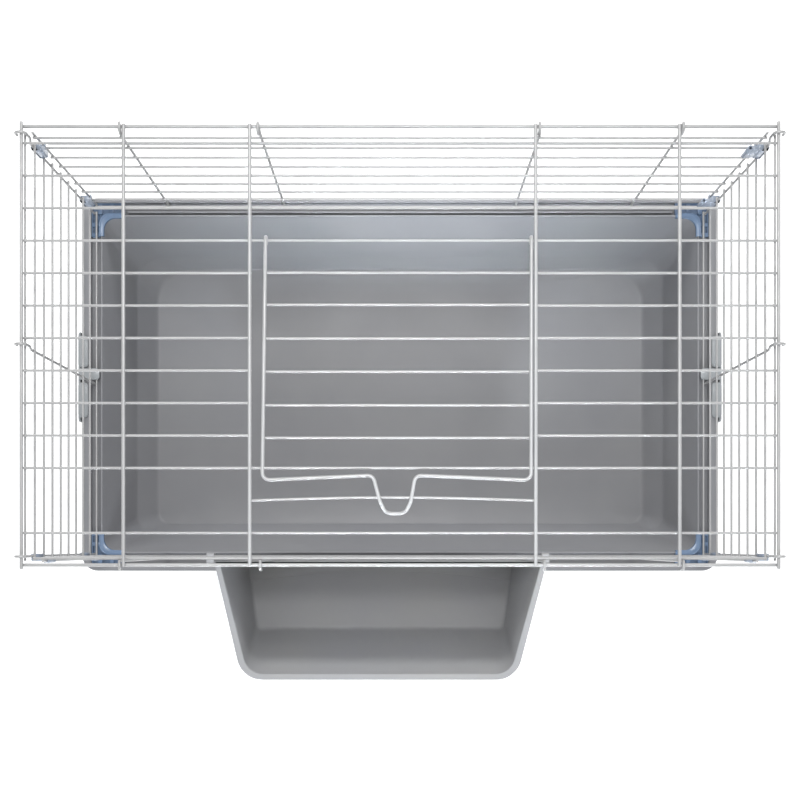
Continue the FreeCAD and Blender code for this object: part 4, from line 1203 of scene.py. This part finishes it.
def make_stage():
    """Pale floor that glows a little, so that it stays pale in the shadows."""
    look = Look("pale_floor")
    patches = look.spread(look.noise(3, 2), 0.3, 0.7, 0, 1)
    look.put("Base Color", look.mix(patches, shade(0.90), shade(0.915)))
    look.put("Roughness", look.spread(look.noise(20, 2), 0.3, 0.7, 0.75, 0.9))
    look.put("Emission Color", (1, 1, 1, 1))
    look.put("Emission Strength", FLOOR_GLOW)
    mesh = bpy.data.meshes.new("stage_floor")
    reach = FLOOR_REACH
    corners = [(-reach, -reach, 0), (reach, -reach, 0), (reach, reach, 0), (-reach, reach, 0)]
    mesh.from_pydata(corners, [], [(0, 1, 2, 3)])
    mesh.materials.append(look.material)
    floor = bpy.data.objects.new("stage_floor", mesh)
    floor.location.z = -FLOOR_DROP
    bpy.context.collection.objects.link(floor)


def add_area(name, place, aim, size, power, colour):
    """Rectangular lamp at a place, turned towards an aim."""
    data = bpy.data.lights.new(name, "AREA")
    data.shape = "RECTANGLE"
    data.size, data.size_y = size
    data.energy = power
    data.color = colour
    lamp = bpy.data.objects.new(name, data)
    lamp.location = place
    lamp.rotation_mode = "QUATERNION"
    lamp.rotation_quaternion = (Vector(aim) - Vector(place)).to_track_quat("-Z", "Y")
    bpy.context.collection.objects.link(lamp)
    return lamp


def make_light():
    world = bpy.data.worlds.new("studio")
    bpy.context.scene.world = world
    world.use_nodes = True
    background = world.node_tree.nodes["Background"]
    background.inputs["Color"].default_value = (1, 1, 1, 1)
    background.inputs["Strength"].default_value = WORLD_STRENGTH
    add_area("ceiling_softbox", (0, 0.2, 3.0), (0, 0.2, 0), (3.6, 6.0), 23, (1, 1, 0.99))
    add_area("glow_softbox", (0, 0.74, 2.9), (0, 0.1, 0), (0.9, 0.5), 24, (1, 1, 1))
    front = add_area("front_strip", (0.1, -2.5, 1.6), (0, 0.2, 0.07), (4.2, 0.7), 50, (0.92, 0.96, 1.0))
    back = add_area("back_strip", (0, 2.8, 1.2), (0, -0.2, 0.07), (4.2, 0.6), 75, (1, 1, 1))
    beam = add_area("back_wall_beam", (0.03, -1.6, 1.35), (0.03, 0.25, 0.14), (0.40, 0.12), 1.0,
                    (0.88, 0.94, 1.0))
    beam.data.spread = BEAM_SPREAD
    for strip in (front, back, beam):
        strip.visible_glossy = False
    view = bpy.context.scene.view_settings
    view.view_transform = "Standard"
    view.look = "None"


def make_camera():
    """Looks straight down, with the picture shifted back from the camera's own place."""
    roof_z = (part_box("roof_full_bars")[0][2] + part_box("roof_full_bars")[1][2]) / 2
    data = bpy.data.cameras.new("camera")
    data.sensor_width = CAMERA_SENSOR
    data.lens = CAMERA_LENS
    data.shift_y = CAMERA_SHIFT
    camera = bpy.data.objects.new("camera", data)
    camera.location = (0, CAMERA_Y, roof_z + CAMERA_ABOVE_ROOF)
    bpy.context.collection.objects.link(camera)
    bpy.context.scene.camera = camera


make_stage()
make_light()
make_camera()
